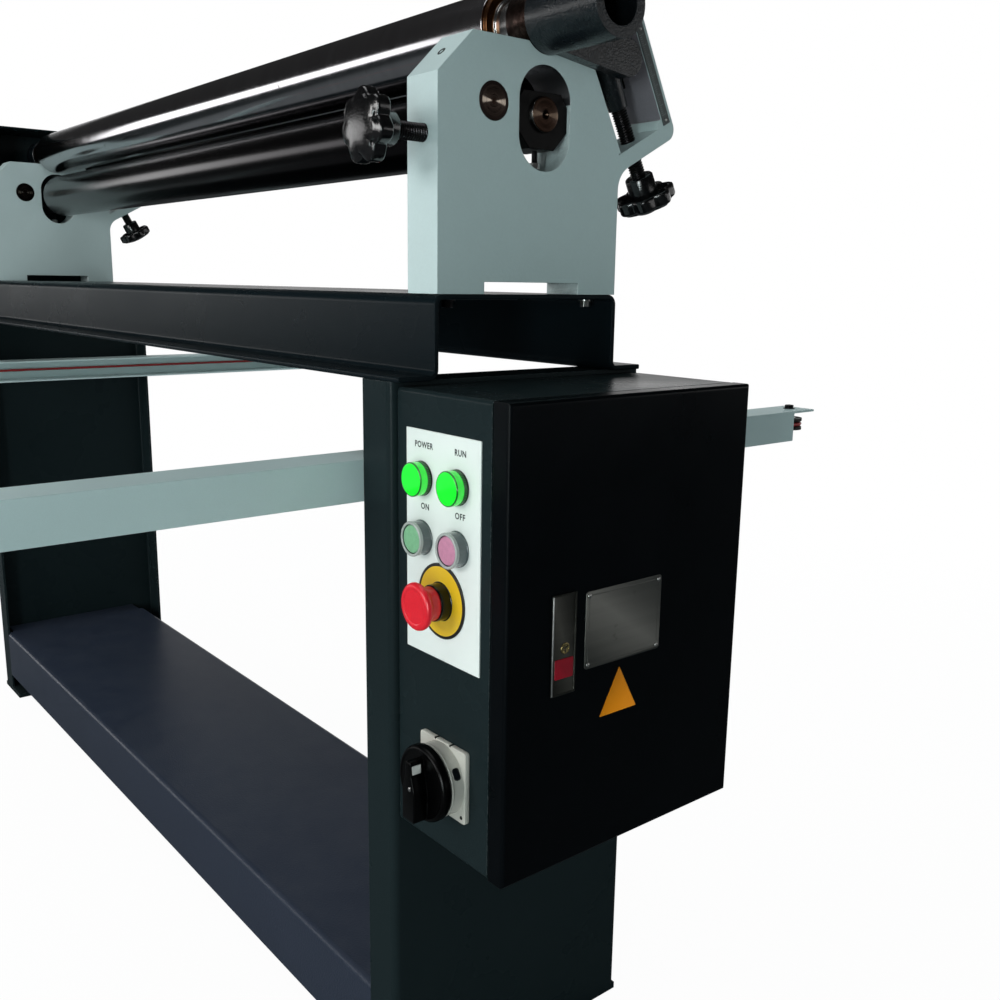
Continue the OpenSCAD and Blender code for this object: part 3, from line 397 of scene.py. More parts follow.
paintFinishes = {
    # colour, worn edge colour (wear and painted edge highlight), tone swing, patches and grain per metre,
    # grain depth, roughness, wear and glint amount, dust, specular
    "standPaint": ((0.0102, 0.0172, 0.019), (0.16, 0.18, 0.18), 0.12, 6, 700, 0.0001, 0.29, 0.8, 0.02, 0.06),
    "bedPaint": ((0.0044, 0.0080, 0.0102), (0.16, 0.18, 0.18), 0.12, 6, 700, 0.00010, 0.29, 0.8, 0.02, 0.04),
    "shelfPaint": ((0.022, 0.029, 0.047), (0.1, 0.1, 0.1), 0.1, 5, 420, 0.0003, 0.34, 0.5, 0.02, 0.35),
    "doorPaint": ((0.0012, 0.0020, 0.0028), (0.04, 0.05, 0.05), 0.25, 9, 900, 0.00005, 0.30, 0.5, 0.0, 0.07),
    "framePaint": ((0.47, 0.572, 0.572), (0.72, 0.78, 0.78), 0.05, 16, 420, 0.00012, 0.42, 0.35, 0.0, 0.35),
    "castPaint": ((0.50, 0.58, 0.58), (0.72, 0.78, 0.78), 0.24, 90, 420, 0.00050, 0.42, 0.6, 0.0, 0.5),
    # The arm paint is set lighter than the frame paint to make up for the shade the arms stand in: painted
    # light.
    "armPaintLightened": ((0.52, 0.65, 0.65), (0.6, 0.66, 0.66), 0.07, 10, 900, 0.00004, 0.42, 0.4, 0.02, 0.35),
    "machinedWall": ((0.19, 0.18, 0.20), (0.5, 0.5, 0.5), 0.18, 30, 600, 0.00030, 0.36, 0.5, 0.0, 0.5),
    "panelPlate": ((0.74, 0.79, 0.76), (0.55, 0.57, 0.57), 0.03, 20, 1500, 0.00001, 0.40, 0.5, 0.0, 0.5),
    "ringYellow": ((0.74, 0.47, 0.015), (0.9, 0.65, 0.1), 0.06, 40, 1500, 0.00001, 0.34, 0.0, 0.0, 0.5),
    "ringBorder": ((0.010, 0.010, 0.010), (0.06, 0.06, 0.06), 0.2, 40, 1500, 0.00001, 0.34, 0.0, 0.0, 0.5),
    "signYellow": ((0.86, 0.27, 0.004), (0.95, 0.5, 0.05), 0.05, 30, 900, 0.00001, 0.45, 0.0, 0.0, 0.2),
    "legendInk": ((0.012, 0.014, 0.016), (0.1, 0.1, 0.1), 0.3, 300, 4000, 0.00001, 0.5, 0.0, 0.0, 0.3),
    "stripPaint": ((0.030, 0.042, 0.042), (0.25, 0.27, 0.26), 0.2, 60, 1600, 0.00002, 0.36, 0.8, 0.0, 0.5),
    "stripInk": ((0.20, 0.24, 0.23), (0.5, 0.5, 0.5), 0.2, 200, 3000, 0.00001, 0.45, 0.0, 0.0, 0.4),
}


def makePaint(name, values):
    colour, wornAndGlintEdge, tone, patch, grain, depth, rough, wearAndGlint, dust, specular = values
    material, tree, shader, place = startMaterial(name)
    film = useGroup(tree, toneFilm, {"Place": place, "Colour": rgba(colour), "Tone": tone, "Patch": patch,
                                     "Grain": grain})
    rubAndGlint = useGroup(tree, edgeWearAndGlint, {"Place": place, "Radius": 0.0011, "Reach": wearAndGlint, "Break": grain * 0.5})
    # Painted highlight and wear: the edges take the lighter edge colour.
    base = mixColour(tree, rubAndGlint["Mask"], film["Colour"], rgba(wornAndGlintEdge))
    if dust:
        settled = useGroup(tree, dustFilm, {"Place": place, "Amount": dust})
        base = mixColour(tree, settled["Mask"], base, (0.42, 0.42, 0.40, 1))
    shine = plus(tree, rough, times(tree, film["Rough"], 0.22), clamp=True)
    setInputs(tree, shader, {"Base Color": base, "Roughness": shine, "Specular IOR Level": specular,
                             "Normal": bumpOf(tree, film["Height"], depth, rubAndGlint["Normal"])})
    return material


metalFinishes = {
    # bright, dull, roughness, its swing, stretch and depth of the grinding lines, stain colour, stain limits
    "rollSteel": ((0.60, 0.59, 0.61), (0.44, 0.43, 0.45), 0.13, 0.08, (900, 6, 6), 0.0000022,
                  (0.10, 0.09, 0.08), (0.62, 0.80)),
    "neckSteel": ((0.72, 0.71, 0.70), (0.45, 0.44, 0.43), 0.16, 0.12, (2600, 8, 8), 0.000004,
                  (0.12, 0.10, 0.08), (0.64, 0.8)),
    # A much darker copy of the roll steel for the lower and rear rolls: painted shade that keeps their
    # reflections dark.
    "shadedRollSteel": ((0.027, 0.025, 0.027), (0.019, 0.018, 0.019), 0.22, 0.04, (900, 6, 6), 0.0000022,
                   (0.03, 0.026, 0.024), (0.72, 0.90)),
    "collarSteel": ((0.10, 0.065, 0.055), (0.022, 0.012, 0.010), 0.26, 0.2, (900, 260, 260), 0.00004,
                    (0.012, 0.006, 0.004), (0.42, 0.58)),
    "bronzeRing": ((0.15, 0.066, 0.026), (0.045, 0.019, 0.008), 0.28, 0.2, (900, 60, 60), 0.00001,
                   (0.03, 0.012, 0.006), (0.48, 0.66)),
    "slotWall": ((0.50, 0.50, 0.52), (0.30, 0.30, 0.32), 0.40, 0.25, (20, 500, 500), 0.000030,
                 (0.05, 0.05, 0.05), (0.52, 0.72)),
    "zincPlate": ((0.20, 0.205, 0.19), (0.11, 0.115, 0.105), 0.40, 0.15, (60, 60, 1800), 0.000004,
                  (0.1, 0.1, 0.09), (0.62, 0.8)),
    "boltSteel": ((0.66, 0.66, 0.64), (0.38, 0.38, 0.37), 0.30, 0.2, (300, 300, 300), 0.000006,
                  (0.12, 0.09, 0.06), (0.58, 0.75)),
    "screwSteel": ((0.038, 0.036, 0.038), (0.014, 0.013, 0.014), 0.30, 0.2, (300, 900, 300), 0.000008,
                   (0.02, 0.018, 0.016), (0.5, 0.7)),
    "castBlocks": ((0.014, 0.014, 0.014), (0.006, 0.006, 0.006), 0.40, 0.25, (260, 260, 260), 0.00005,
                   (0.01, 0.01, 0.01), (0.48, 0.62)),
    "brassLock": ((0.62, 0.50, 0.22), (0.36, 0.28, 0.12), 0.26, 0.15, (900, 900, 900), 0.000006,
                  (0.05, 0.04, 0.02), (0.6, 0.8)),
}


def makeMetal(name, values):
    bright, dull, rough, swing, stretch, depth, stainColour, stainLimits = values
    material, tree, shader, place = startMaterial(name)
    lines = useGroup(tree, grindLines, {"Place": place, "Stretch": stretch})
    rubAndGlint = useGroup(tree, edgeWearAndGlint, {"Place": place, "Radius": 0.0007, "Reach": 0.7, "Break": 90.0})
    spread = {"Place": place, "Scale": 55.0, "Low": stainLimits[0], "High": stainLimits[1]}
    stain = useGroup(tree, stains, spread)
    base = mixColour(tree, lines["Broad"], rgba(dull), rgba(bright))
    base = mixColour(tree, stain["Mask"], base, rgba(stainColour))
    # Edges brighten towards the bright steel: wear, and a painted edge highlight.
    base = mixColour(tree, times(tree, rubAndGlint["Mask"], 0.6), base, rgba(bright))
    broad = minus(tree, lines["Broad"], 0.5)
    shine = plus(tree, rough, times(tree, broad, swing))
    shine = plus(tree, shine, times(tree, stain["Mask"], 0.12), clamp=True)
    setInputs(tree, shader, {"Base Color": base, "Roughness": shine, "Metallic": 1.0,
                             "Normal": bumpOf(tree, lines["Height"], depth, rubAndGlint["Normal"])})
    return material


# The fan of light is a painted highlight, and the dark ring at the rim a painted shadow of the gap round the
# pin.
def makePinSteel(name, centre, values, rings=1500.0):  # turned end, dark centre and a fan of light
    dull, bright, glow, paintedFan, shadowRimAt = values
    material, tree, shader, place = startMaterial(name)
    marks = useGroup(tree, ringMarks, {"Place": place, "Centre": centre, "Across": (0, 1, 1), "Rings": rings})
    coarse = useGroup(tree, ringMarks, {"Place": place, "Centre": centre, "Across": (0, 1, 1),
                                        "Rings": rings * 0.2})
    stain = useGroup(tree, stains, {"Place": place, "Scale": 90.0, "Low": 0.5, "High": 0.72})
    middle = remap(tree, marks["Radius"], 1.5 * mm, 4.5 * mm, 1.0, 0.0)
    base = mixColour(tree, coarse["Height"], rgba(dull), rgba(bright))
    away = vectorMaths(tree, "SUBTRACT", place, centre).outputs[0]
    level = maths(tree, "ABSOLUTE", addNode(tree, "ShaderNodeSeparateXYZ", {0: away}).outputs["Y"])
    turn = maths(tree, "DIVIDE", level, plus(tree, marks["Radius"], 0.00001))
    # Painted highlight: a fan of light across the turned face.
    light = times(tree, remap(tree, turn, 0.955, 1.0), paintedFan)
    light = times(tree, light, remap(tree, coarse["Height"], 0.25, 0.65, 0.55, 1.0))
    base = mixColour(tree, light, base, rgba(glow))
    # Painted shadow: a dark ring just inside the rim.
    base = mixColour(tree, remap(tree, marks["Radius"], shadowRimAt - 0.5 * mm, shadowRimAt), base, rgba(dull))
    base = mixColour(tree, maths(tree, "MAXIMUM", times(tree, stain["Mask"], 0.6), middle), base,
                     (0.020, 0.012, 0.009, 1))
    shine = plus(tree, 0.18, times(tree, coarse["Height"], 0.16))
    setInputs(tree, shader, {"Base Color": base, "Roughness": shine, "Metallic": 1.0,
                             "Normal": bumpOf(tree, marks["Height"], 0.00022)})
    return material


plasticFinishes = {
    # colour, tone swing, patches and grain per metre, grain depth, roughness,
    # coat, coat roughness, glow, specular
    "knobBlack": ((0.0022, 0.0022, 0.0026), 0.3, 60, 700, 0.00014, 0.21, 0.32, 0.10, 0.0, 0.5),
    "lensGreen": ((0.004, 0.70, 0.02), 0.05, 90, 900, 0.00001, 0.14, 0.6, 0.05, 0.35, 0.5),
    "lensDeep": ((0.001, 0.16, 0.012), 0.2, 90, 900, 0.00002, 0.10, 0.8, 0.05, 0.0, 0.5),
    "bezelBlack": ((0.0016, 0.0042, 0.0022), 0.2, 90, 1500, 0.00002, 0.22, 0.3, 0.1, 0.0, 0.2),
    "bootGrey": ((0.060, 0.082, 0.086), 0.25, 70, 1200, 0.00003, 0.20, 0.6, 0.08, 0.0, 0.5),
    "bootRim": ((0.36, 0.385, 0.37), 0.10, 90, 1200, 0.00002, 0.22, 0.5, 0.1, 0.0, 0.5),
    "capGreen": ((0.19, 0.44, 0.24), 0.24, 300, 1500, 0.00004, 0.34, 0.3, 0.15, 0.0, 0.5),
    "capPink": ((0.52, 0.215, 0.33), 0.24, 300, 1500, 0.00004, 0.34, 0.3, 0.15, 0.0, 0.5),
    "headRed": ((0.72, 0.006, 0.020), 0.10, 80, 500, 0.00008, 0.34, 0.12, 0.15, 0.0, 0.5),
    "socketBlack": ((0.0015, 0.0015, 0.0015), 0.2, 90, 900, 0.00003, 0.4, 0.0, 0.3, 0.0, 0.1),
    "plateBeige": ((0.50, 0.49, 0.44), 0.05, 60, 900, 0.00005, 0.42, 0.1, 0.3, 0.0, 0.35),
    "switchBlack": ((0.0004, 0.0004, 0.0005), 0.3, 60, 1300, 0.00004, 0.34, 0.05, 0.2, 0.0, 0.1),
    "markWhite": ((0.50, 0.50, 0.48), 0.05, 90, 1500, 0.00002, 0.45, 0.0, 0.3, 0.0, 0.2),
    "lockRed": ((0.30, 0.002, 0.014), 0.12, 90, 900, 0.00003, 0.40, 0.1, 0.3, 0.0, 0.2),
    "pulleyBlack": ((0.012, 0.012, 0.012), 0.25, 60, 900, 0.00005, 0.42, 0.1, 0.3, 0.0, 0.3),
    "ropeRed": ((0.34, 0.012, 0.014), 0.25, 60, 1400, 0.00004, 0.38, 0.2, 0.2, 0.0, 0.5),
    "boreBlack": ((0.004, 0.005, 0.006), 0.3, 60, 300, 0.00010, 0.18, 0.5, 0.1, 0.0, 0.2),
}


def makePlastic(name, values):
    colour, tone, patch, grain, depth, rough, coat, coatRough, glow, specular = values
    material, tree, shader, place = startMaterial(name)
    film = useGroup(tree, toneFilm, {"Place": place, "Colour": rgba(colour), "Tone": tone, "Patch": patch,
                                     "Grain": grain})
    rubAndGlint = useGroup(tree, edgeWearAndGlint, {"Place": place, "Radius": 0.0006, "Reach": 0.25, "Break": 120.0})
    # Edges lighten towards grey: a painted edge highlight, with a little wear.
    light = mixColour(tree, 0.25, film["Colour"], (0.5, 0.5, 0.5, 1))
    base = mixColour(tree, rubAndGlint["Mask"], film["Colour"], light)
    shine = plus(tree, rough, times(tree, film["Rough"], 0.25), clamp=True)
    setInputs(tree, shader, {"Base Color": base, "Roughness": shine, "Coat Weight": coat,
                             "Coat Roughness": coatRough,
                             "Normal": bumpOf(tree, film["Height"], depth, rubAndGlint["Normal"]),
                             "Specular IOR Level": specular})
    if glow:
        setInputs(tree, shader, {"Emission Color": film["Colour"], "Emission Strength": glow})
    return material


def makeHammerPaint(name):
    material, tree, shader, place = startMaterial(name)
    skin = useGroup(tree, hammerSkin, {"Place": place, "Cells": 620.0})
    film = useGroup(tree, toneFilm, {"Place": place, "Colour": (0.0026, 0.0046, 0.0062, 1), "Tone": 0.2,
                                     "Patch": 25.0, "Grain": 500.0})
    rubAndGlint = useGroup(tree, edgeWearAndGlint, {"Place": place, "Radius": 0.0015, "Reach": 0.35, "Break": 60.0})
    # Cell rims lighten the colour: the finish's own mottle and a painted glint.
    mottleAndGlint = times(tree, skin["MottleAndGlint"], 0.5)
    base = mixColour(tree, mottleAndGlint, film["Colour"], (0.008, 0.012, 0.016, 1))
    # Edges lighten: wear, and a painted edge highlight.
    base = mixColour(tree, rubAndGlint["Mask"], base, (0.12, 0.14, 0.15, 1))
    shine = plus(tree, 0.26, times(tree, film["Rough"], 0.3), clamp=True)
    setInputs(tree, shader, {
        "Base Color": base, "Roughness": shine, "Coat Weight": 0.2, "Coat Roughness": 0.12,
        "Specular IOR Level": 0.35, "Normal": bumpOf(tree, skin["Height"], 0.00022, rubAndGlint["Normal"])})
    return material


finishes = {name: makePaint(name, values) for name, values in paintFinishes.items()}
finishes.update({name: makeMetal(name, values) for name, values in metalFinishes.items()})
finishes.update({name: makePlastic(name, values) for name, values in plasticFinishes.items()})
finishes["hammerPaint"] = makeHammerPaint("hammerPaint")
# Values: dull, bright, painted highlight colour, its strength, radius of the painted shadow ring.
finishes["pinSteel"] = makePinSteel("pinSteel", (0, -56 * mm, 1004 * mm), (
    (0.014, 0.010, 0.009), (0.050, 0.036, 0.029), (0.70, 0.60, 0.50), 0.85, 13.5 * mm))
finishes["journalEnd"] = makePinSteel("journalEnd", (0, 6 * mm, 999 * mm), (
    (0.016, 0.008, 0.005), (0.044, 0.026, 0.018), (0.34, 0.25, 0.18), 0.35, 19.0 * mm))
zinc = metalFinishes["zincPlate"]
darkZinc = ((0.075, 0.077, 0.068), (0.035, 0.036, 0.032), *zinc[2:])
finishes["nameplateMetal"] = makeMetal("nameplateMetal", zinc)
finishes["latchPlate"] = makeMetal("latchPlate", darkZinc)
print("finishes made:", len(finishes))

# Mesh tools

axes = {"X": Vector((1, 0, 0)), "Y": Vector((0, 1, 0)), "Z": Vector((0, 0, 1))}


def frameAt(origin, right, up):  # place whose own Z is right x up; origin in millimetres
    right, up = Vector(right).normalized(), Vector(up).normalized()
    out = right.cross(up)
    turn = Matrix((right, up, out)).transposed().to_4x4()
    return Matrix.Translation(Vector(origin) * mm) @ turn


def facingFront(x, y, z):
    return frameAt((x, y, z), axes["X"], axes["Z"])


def facingRight(x, y, z):
    return frameAt((x, y, z), axes["Y"], axes["Z"])


def finishMesh(mesh, names, angle=32):
    indexes = [face.material_index for face in mesh.polygons]
    mesh.materials.clear()
    for name in names:
        mesh.materials.append(finishes[name])
    for face, index in zip(mesh.polygons, indexes):
        face.material_index = index
        face.use_smooth = True
    mesh.set_sharp_from_angle(angle=math.radians(angle))


def addPiece(name, mesh, body, replaced=()):
    piece = bpy.data.objects.new(name, mesh)
    scene.collection.objects.link(piece)
    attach(piece, body)
    if replaced:
        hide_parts(*replaced)
    return piece


def bakedMesh(piece):  # what the modifiers make, as a plain mesh
    depsgraph = bpy.context.evaluated_depsgraph_get()
    mesh = bpy.data.meshes.new_from_object(piece.evaluated_get(depsgraph), preserve_all_data_layers=True,
                                           depsgraph=depsgraph)
    old = piece.data
    bpy.data.objects.remove(piece)
    if old.users == 0:
        bpy.data.meshes.remove(old)
    return mesh


def roundEdges(mesh, width, segments=2, angle=32):  # bevels the sharp edges and keeps the flats flat
    mesh.set_sharp_from_angle(angle=math.radians(angle))
    piece = bpy.data.objects.new("edgeWork", mesh)
    scene.collection.objects.link(piece)
    edge = piece.modifiers.new("edge", "BEVEL")
    edge.width = width * mm
    edge.segments = segments
    edge.limit_method = "ANGLE"
    edge.angle_limit = math.radians(angle)
    edge.use_clamp_overlap = True
    edge.miter_outer = "MITER_ARC"
    even = piece.modifiers.new("even", "WEIGHTED_NORMAL")
    even.keep_sharp = False
    even.weight = 60
    return bakedMesh(piece)


def meshFrom(work, name, place=None):
    if place is not None:
        work.transform(place)
    mesh = bpy.data.meshes.new(name)
    work.to_mesh(mesh)
    work.free()
    return mesh


def softenedCopy(node, width, names, segments=2, choose=None, reshape=None):
    mesh = frame["nodes"][node].data.copy()
    for key in ("custom_normal", "sharp_edge", "sharp_face"):
        if mesh.attributes.get(key):
            mesh.attributes.remove(mesh.attributes[key])
    work = bmesh.new()
    work.from_mesh(mesh)
    bmesh.ops.remove_doubles(work, verts=work.verts, dist=1e-6)
    bmesh.ops.dissolve_limit(work, angle_limit=math.radians(1), verts=work.verts, edges=work.edges)
    for vert in work.verts if reshape else ():
        vert.co = reshape(vert.co / mm) * mm
    for face in work.faces:
        face.smooth = True
        face.material_index = choose(face.calc_center_median() / mm, face.normal) if choose else 0
    work.to_mesh(mesh)
    work.free()
    finishMesh(mesh, names)
    mesh = roundEdges(mesh, width, segments)
    mesh.name = node + "Soft"
    return addPiece(node + "Soft", mesh, bodyOf[node], (node,))


def roundedProfile(points, rounding, segments=3):  # profile corners as short arcs
    result = []
    for i, point in enumerate(points):
        if i in (0, len(points) - 1) or rounding == 0:
            result.append(point)
            continue
        here = Vector(point[:2])
        before, after = Vector(points[i - 1][:2]) - here, Vector(points[i + 1][:2]) - here
        reach = min(rounding, 0.45 * before.length, 0.45 * after.length)
        if reach < 0.02 or before.angle(after) > math.radians(170):
            result.append(point)
            continue
        start, end = here + before.normalized() * reach, here + after.normalized() * reach
        for k in range(segments + 1):
            t = k / segments
            spot = (1 - t) ** 2 * start + 2 * t * (1 - t) * here + t * t * end
            index = point[2] if t < 0.5 else points[i + 1][2]
            result.append((spot.x, spot.y, index))
    return result


def joinRings(work, low, high, finish=0):  # faces between two rings, either of which may be a pole
    steps = max(len(low), len(high))
    for k in range(steps if steps > 1 else 0):
        n = (k + 1) % steps
        if len(low) == 1:
            face = work.faces.new((low[0], high[k], high[n]))
        elif len(high) == 1:
            face = work.faces.new((low[k], high[0], low[n]))
        else:
            face = work.faces.new((low[k], high[k], high[n], low[n]))
        face.material_index = finish


def turnedMesh(name, profile, place, rounding=0.4, steps=64):  # (radius, along, finish) from pole to pole
    points = roundedProfile(profile, rounding)
    work = bmesh.new()
    rings = []
    for radius, along in (point[:2] for point in points):
        if radius < 1e-6:
            rings.append([work.verts.new((0, 0, along * mm))])
        else:
            rings.append([work.verts.new((radius * mm * math.cos(a), radius * mm * math.sin(a), along * mm))
                          for a in (2 * math.pi * k / steps for k in range(steps))])
    for i in range(len(rings) - 1):
        joinRings(work, rings[i], rings[i + 1], points[i + 1][2])
    bmesh.ops.recalc_face_normals(work, faces=work.faces)
    return meshFrom(work, name, place)


def turnedPiece(name, profile, place, names, body, replaced=(), rounding=0.4, steps=64):
    mesh = turnedMesh(name, profile, place, rounding, steps)
    finishMesh(mesh, names, 40)
    return addPiece(name, mesh, body, replaced)


def roundedRect(width, height, radius, steps=5):
    points = []
    for cx, cy, start in ((1, 1, 0), (-1, 1, 90), (-1, -1, 180), (1, -1, 270)):
        for k in range(steps + 1):
            a = math.radians(start + 90 * k / steps)
            points.append((cx * (width / 2 - radius) + radius * math.cos(a),
                           cy * (height / 2 - radius) + radius * math.sin(a)))
    return points


def plateMesh(name, outline, low, high, place, rounding=0.3, segments=2):  # drawn out from low to high
    work = bmesh.new()
    bottom = [work.verts.new((x * mm, y * mm, low * mm)) for x, y in outline]
    top = [work.verts.new((x * mm, y * mm, high * mm)) for x, y in outline]
    work.faces.new(bottom)
    work.faces.new(top)
    for k in range(len(outline)):
        n = (k + 1) % len(outline)
        work.faces.new((bottom[k], bottom[n], top[n], top[k]))
    bmesh.ops.recalc_face_normals(work, faces=work.faces)
    for face in work.faces:
        face.smooth = True
    mesh = meshFrom(work, name, place)
    if rounding:
        mesh = roundEdges(mesh, rounding, segments)
        mesh.name = name
    return mesh


def joinMeshes(name, meshes):  # one mesh, finishes kept by name
    work = bmesh.new()
    names = []
    for mesh, finishNames in meshes:
        for finishName in finishNames:
            if finishName not in names:
                names.append(finishName)
        first = len(work.faces)
        work.from_mesh(mesh)
        work.faces.ensure_lookup_table()
        for face in work.faces[first:]:
            face.material_index = names.index(finishNames[min(face.material_index, len(finishNames) - 1)])
        bpy.data.meshes.remove(mesh)
    return meshFrom(work, name), names


def joinedPiece(name, parts, body, replaced=(), angle=32):
    mesh, names = joinMeshes(name, parts)
    finishMesh(mesh, names, angle)
    return addPiece(name, mesh, body, replaced)


# Geometry Nodes

def newTree(name, inputs):
    geometry = ("Geometry", "Geometry")
    return newGroup(name, [(*geometry, None)] + inputs, [geometry], "GeometryNodeTree")


def endTree(tree, start, end, geometry):
    real = addNode(tree, "GeometryNodeRealizeInstances", {"Geometry": geometry})
    dressed = addNode(tree, "GeometryNodeSetMaterial",
                      {"Geometry": real.outputs[0], "Material": start["Finish"]})
    tree.links.new(dressed.outputs[0], end["Geometry"])
    return tree


def growMesh(tree, values, spots=None, place=None):  # plain mesh of a tree run on points (place, aim)
    mesh = bpy.data.meshes.new("growth")
    spots = spots or [((0, 0, 0), (0, 0, 1))]
    mesh.from_pydata([tuple(Vector(spot) * mm) for spot, aim in spots], [], [])
    aims = mesh.attributes.new("aim", "FLOAT_VECTOR", "POINT")
    for k, (spot, aim) in enumerate(spots):
        aims.data[k].vector = aim
    piece = bpy.data.objects.new("growth", mesh)
    modifier = piece.modifiers.new("growth", "NODES")
    modifier.node_group = tree
    for item in tree.interface.items_tree:
        if item.in_out == "INPUT" and item.name in values:
            modifier[item.identifier] = values[item.name]
    scene.collection.objects.link(piece)
    mesh = bakedMesh(piece)
    work = bmesh.new()
    work.from_mesh(mesh)
    bmesh.ops.remove_doubles(work, verts=work.verts, dist=1e-7)
    bmesh.ops.dissolve_degenerate(work, edges=work.edges, dist=1e-7)
    bmesh.ops.recalc_face_normals(work, faces=work.faces)
    if place is not None:
        work.transform(place)
    work.to_mesh(mesh)
    work.free()
    return mesh


def boltValues(sides, radius, height, dish, washerRadius, washerHeight, share=0.7):
    return {
        "Sides": sides, "Radius": radius * mm, "Height": height * mm, "Dish": dish * mm, "Dish Share": share,
        "Washer Radius": washerRadius * mm, "Washer Height": washerHeight * mm,
    }


def shift(x, y=0, z=0):  # move in millimetres
    return Matrix.Translation((x * mm, y * mm, z * mm))


def grownPiece(name, tree, values, spots, finish, body, angle=25):
    mesh = growMesh(tree, {**values, "Finish": finishes[finish]}, spots)
    finishMesh(mesh, [finish], angle)
    return addPiece(name, mesh, body)


def makeThreadTree():  # a screw thread on a shaft along Z
    tree, start, end = newTree("threadTree", [
        ("Radius", "Float", 8 * mm), ("Pitch", "Float", 2 * mm), ("Depth", "Float", 0.9 * mm),
        ("Length", "Float", 40 * mm), ("Rows", "Int", 120), ("Around", "Int", 25),
        ("Finish", "Material", None)])
    grid = addNode(tree, "GeometryNodeMeshGrid", {"Size X": 1.0, "Size Y": 1.0, "Vertices X": start["Around"],
                   "Vertices Y": start["Rows"]})
    spot = addNode(tree, "ShaderNodeSeparateXYZ", {0: addNode(tree, "GeometryNodeInputPosition").outputs[0]})
    u = plus(tree, spot.outputs["X"], 0.5)
    v = plus(tree, spot.outputs["Y"], 0.5)
    along = times(tree, v, start["Length"])
    turn = times(tree, u, 2 * math.pi)
    phase = maths(tree, "FRACT", minus(tree, maths(tree, "DIVIDE", along, start["Pitch"]), u))
    wave = maths(tree, "ABSOLUTE", minus(tree, times(tree, phase, 2.0), 1.0))
    cut = minus(tree, times(tree, wave, 1.3), 0.15, clamp=True)
    radius = minus(tree, start["Radius"], times(tree, start["Depth"], cut))
    margin = minus(tree, 0.5, maths(tree, "DIVIDE", 0.5, start["Rows"]))
    atEnd = maths(tree, "GREATER_THAN", maths(tree, "ABSOLUTE", spot.outputs["Y"]), margin)
    radius = times(tree, radius, minus(tree, 1.0, atEnd))
    bent = addNode(tree, "ShaderNodeCombineXYZ", {
        0: times(tree, maths(tree, "COSINE", turn), radius),
        1: times(tree, maths(tree, "SINE", turn), radius), 2: along})
    moved = addNode(tree, "GeometryNodeSetPosition",
                    {"Geometry": grid.outputs["Mesh"], "Position": bent.outputs[0]})
    closed = addNode(tree, "GeometryNodeMergeByDistance", {"Geometry": moved.outputs[0], "Distance": 1e-7})
    return endTree(tree, start, end, closed.outputs[0])


def instanceOn(tree, points, shape, scale=None):  # the shape on each point, its Z along the point's aim
    aim = addNode(tree, "GeometryNodeInputNamedAttribute", {"Name": "aim"}, data_type="FLOAT_VECTOR")
    turn = addNode(tree, "FunctionNodeAlignRotationToVector", {"Vector": aim.outputs["Attribute"]}, axis="Z")
    inputs = {"Points": points, "Instance": shape, "Rotation": turn.outputs[0]}
    if scale is not None:
        inputs["Scale"] = scale
    return addNode(tree, "GeometryNodeInstanceOnPoints", inputs).outputs[0]


def shifted(tree, geometry, z):
    move = addNode(tree, "ShaderNodeCombineXYZ", {2: z}).outputs[0]
    return addNode(tree, "GeometryNodeTransform", {"Geometry": geometry, "Translation": move}).outputs[0]


def makeBoltTree():  # bolt heads or nuts with a washer and a dished or drilled top
    tree, start, end = newTree("boltTree", [
        ("Sides", "Int", 6), ("Radius", "Float", 7 * mm), ("Height", "Float", 5 * mm),
        ("Dish", "Float", 0.4 * mm), ("Dish Share", "Float", 0.7), ("Washer Radius", "Float", 9 * mm),
        ("Washer Height", "Float", 1.2 * mm), ("Finish", "Material", None)])
    half = times(tree, start["Height"], 0.5)
    body = addNode(tree, "GeometryNodeMeshCylinder", {"Vertices": start["Sides"], "Radius": start["Radius"],
                   "Depth": start["Height"]})
    geometry = shifted(tree, body.outputs["Mesh"], plus(tree, half, start["Washer Height"]))
    selection = body.outputs["Top"]
    chamfer = times(tree, start["Height"], 0.10)
    for offset, share in ((chamfer, 0.87), (0.00001, start["Dish Share"])):
        grown = addNode(tree, "GeometryNodeExtrudeMesh", {"Mesh": geometry, "Selection": selection,
                        "Offset Scale": offset}, mode="FACES")
        sized = addNode(tree, "GeometryNodeScaleElements", {"Geometry": grown.outputs["Mesh"],
                        "Selection": grown.outputs["Top"], "Scale": share})
        geometry, selection = sized.outputs[0], grown.outputs["Top"]
    sunk = addNode(tree, "GeometryNodeExtrudeMesh", {"Mesh": geometry, "Selection": selection,
                   "Offset Scale": times(tree, start["Dish"], -1.0)}, mode="FACES")
    floor = addNode(tree, "GeometryNodeScaleElements", {"Geometry": sunk.outputs["Mesh"],
                    "Selection": sunk.outputs["Top"], "Scale": 0.94})
    washer = addNode(tree, "GeometryNodeMeshCylinder", {"Vertices": 24, "Radius": start["Washer Radius"],
                     "Depth": start["Washer Height"]})
    ring = shifted(tree, washer.outputs["Mesh"], times(tree, start["Washer Height"], 0.5))
    head = addNode(tree, "GeometryNodeJoinGeometry")
    tree.links.new(ring, head.inputs[0])
    tree.links.new(floor.outputs[0], head.inputs[0])
    return endTree(tree, start, end, instanceOn(tree, start["Geometry"], head.outputs[0]))


def makeRivetTree():  # domed rivet heads, half sunk in the surface
    tree, start, end = newTree("rivetTree", [("Radius", "Float", 1.6 * mm), ("Crown", "Float", 0.55),
                               ("Finish", "Material", None)])
    ball = addNode(tree, "GeometryNodeMeshUVSphere", {"Segments": 16, "Rings": 10, "Radius": start["Radius"]})
    flat = addNode(tree, "ShaderNodeCombineXYZ", {0: 1.0, 1: 1.0, 2: start["Crown"]}).outputs[0]
    return endTree(tree, start, end, instanceOn(tree, start["Geometry"], ball.outputs["Mesh"], flat))


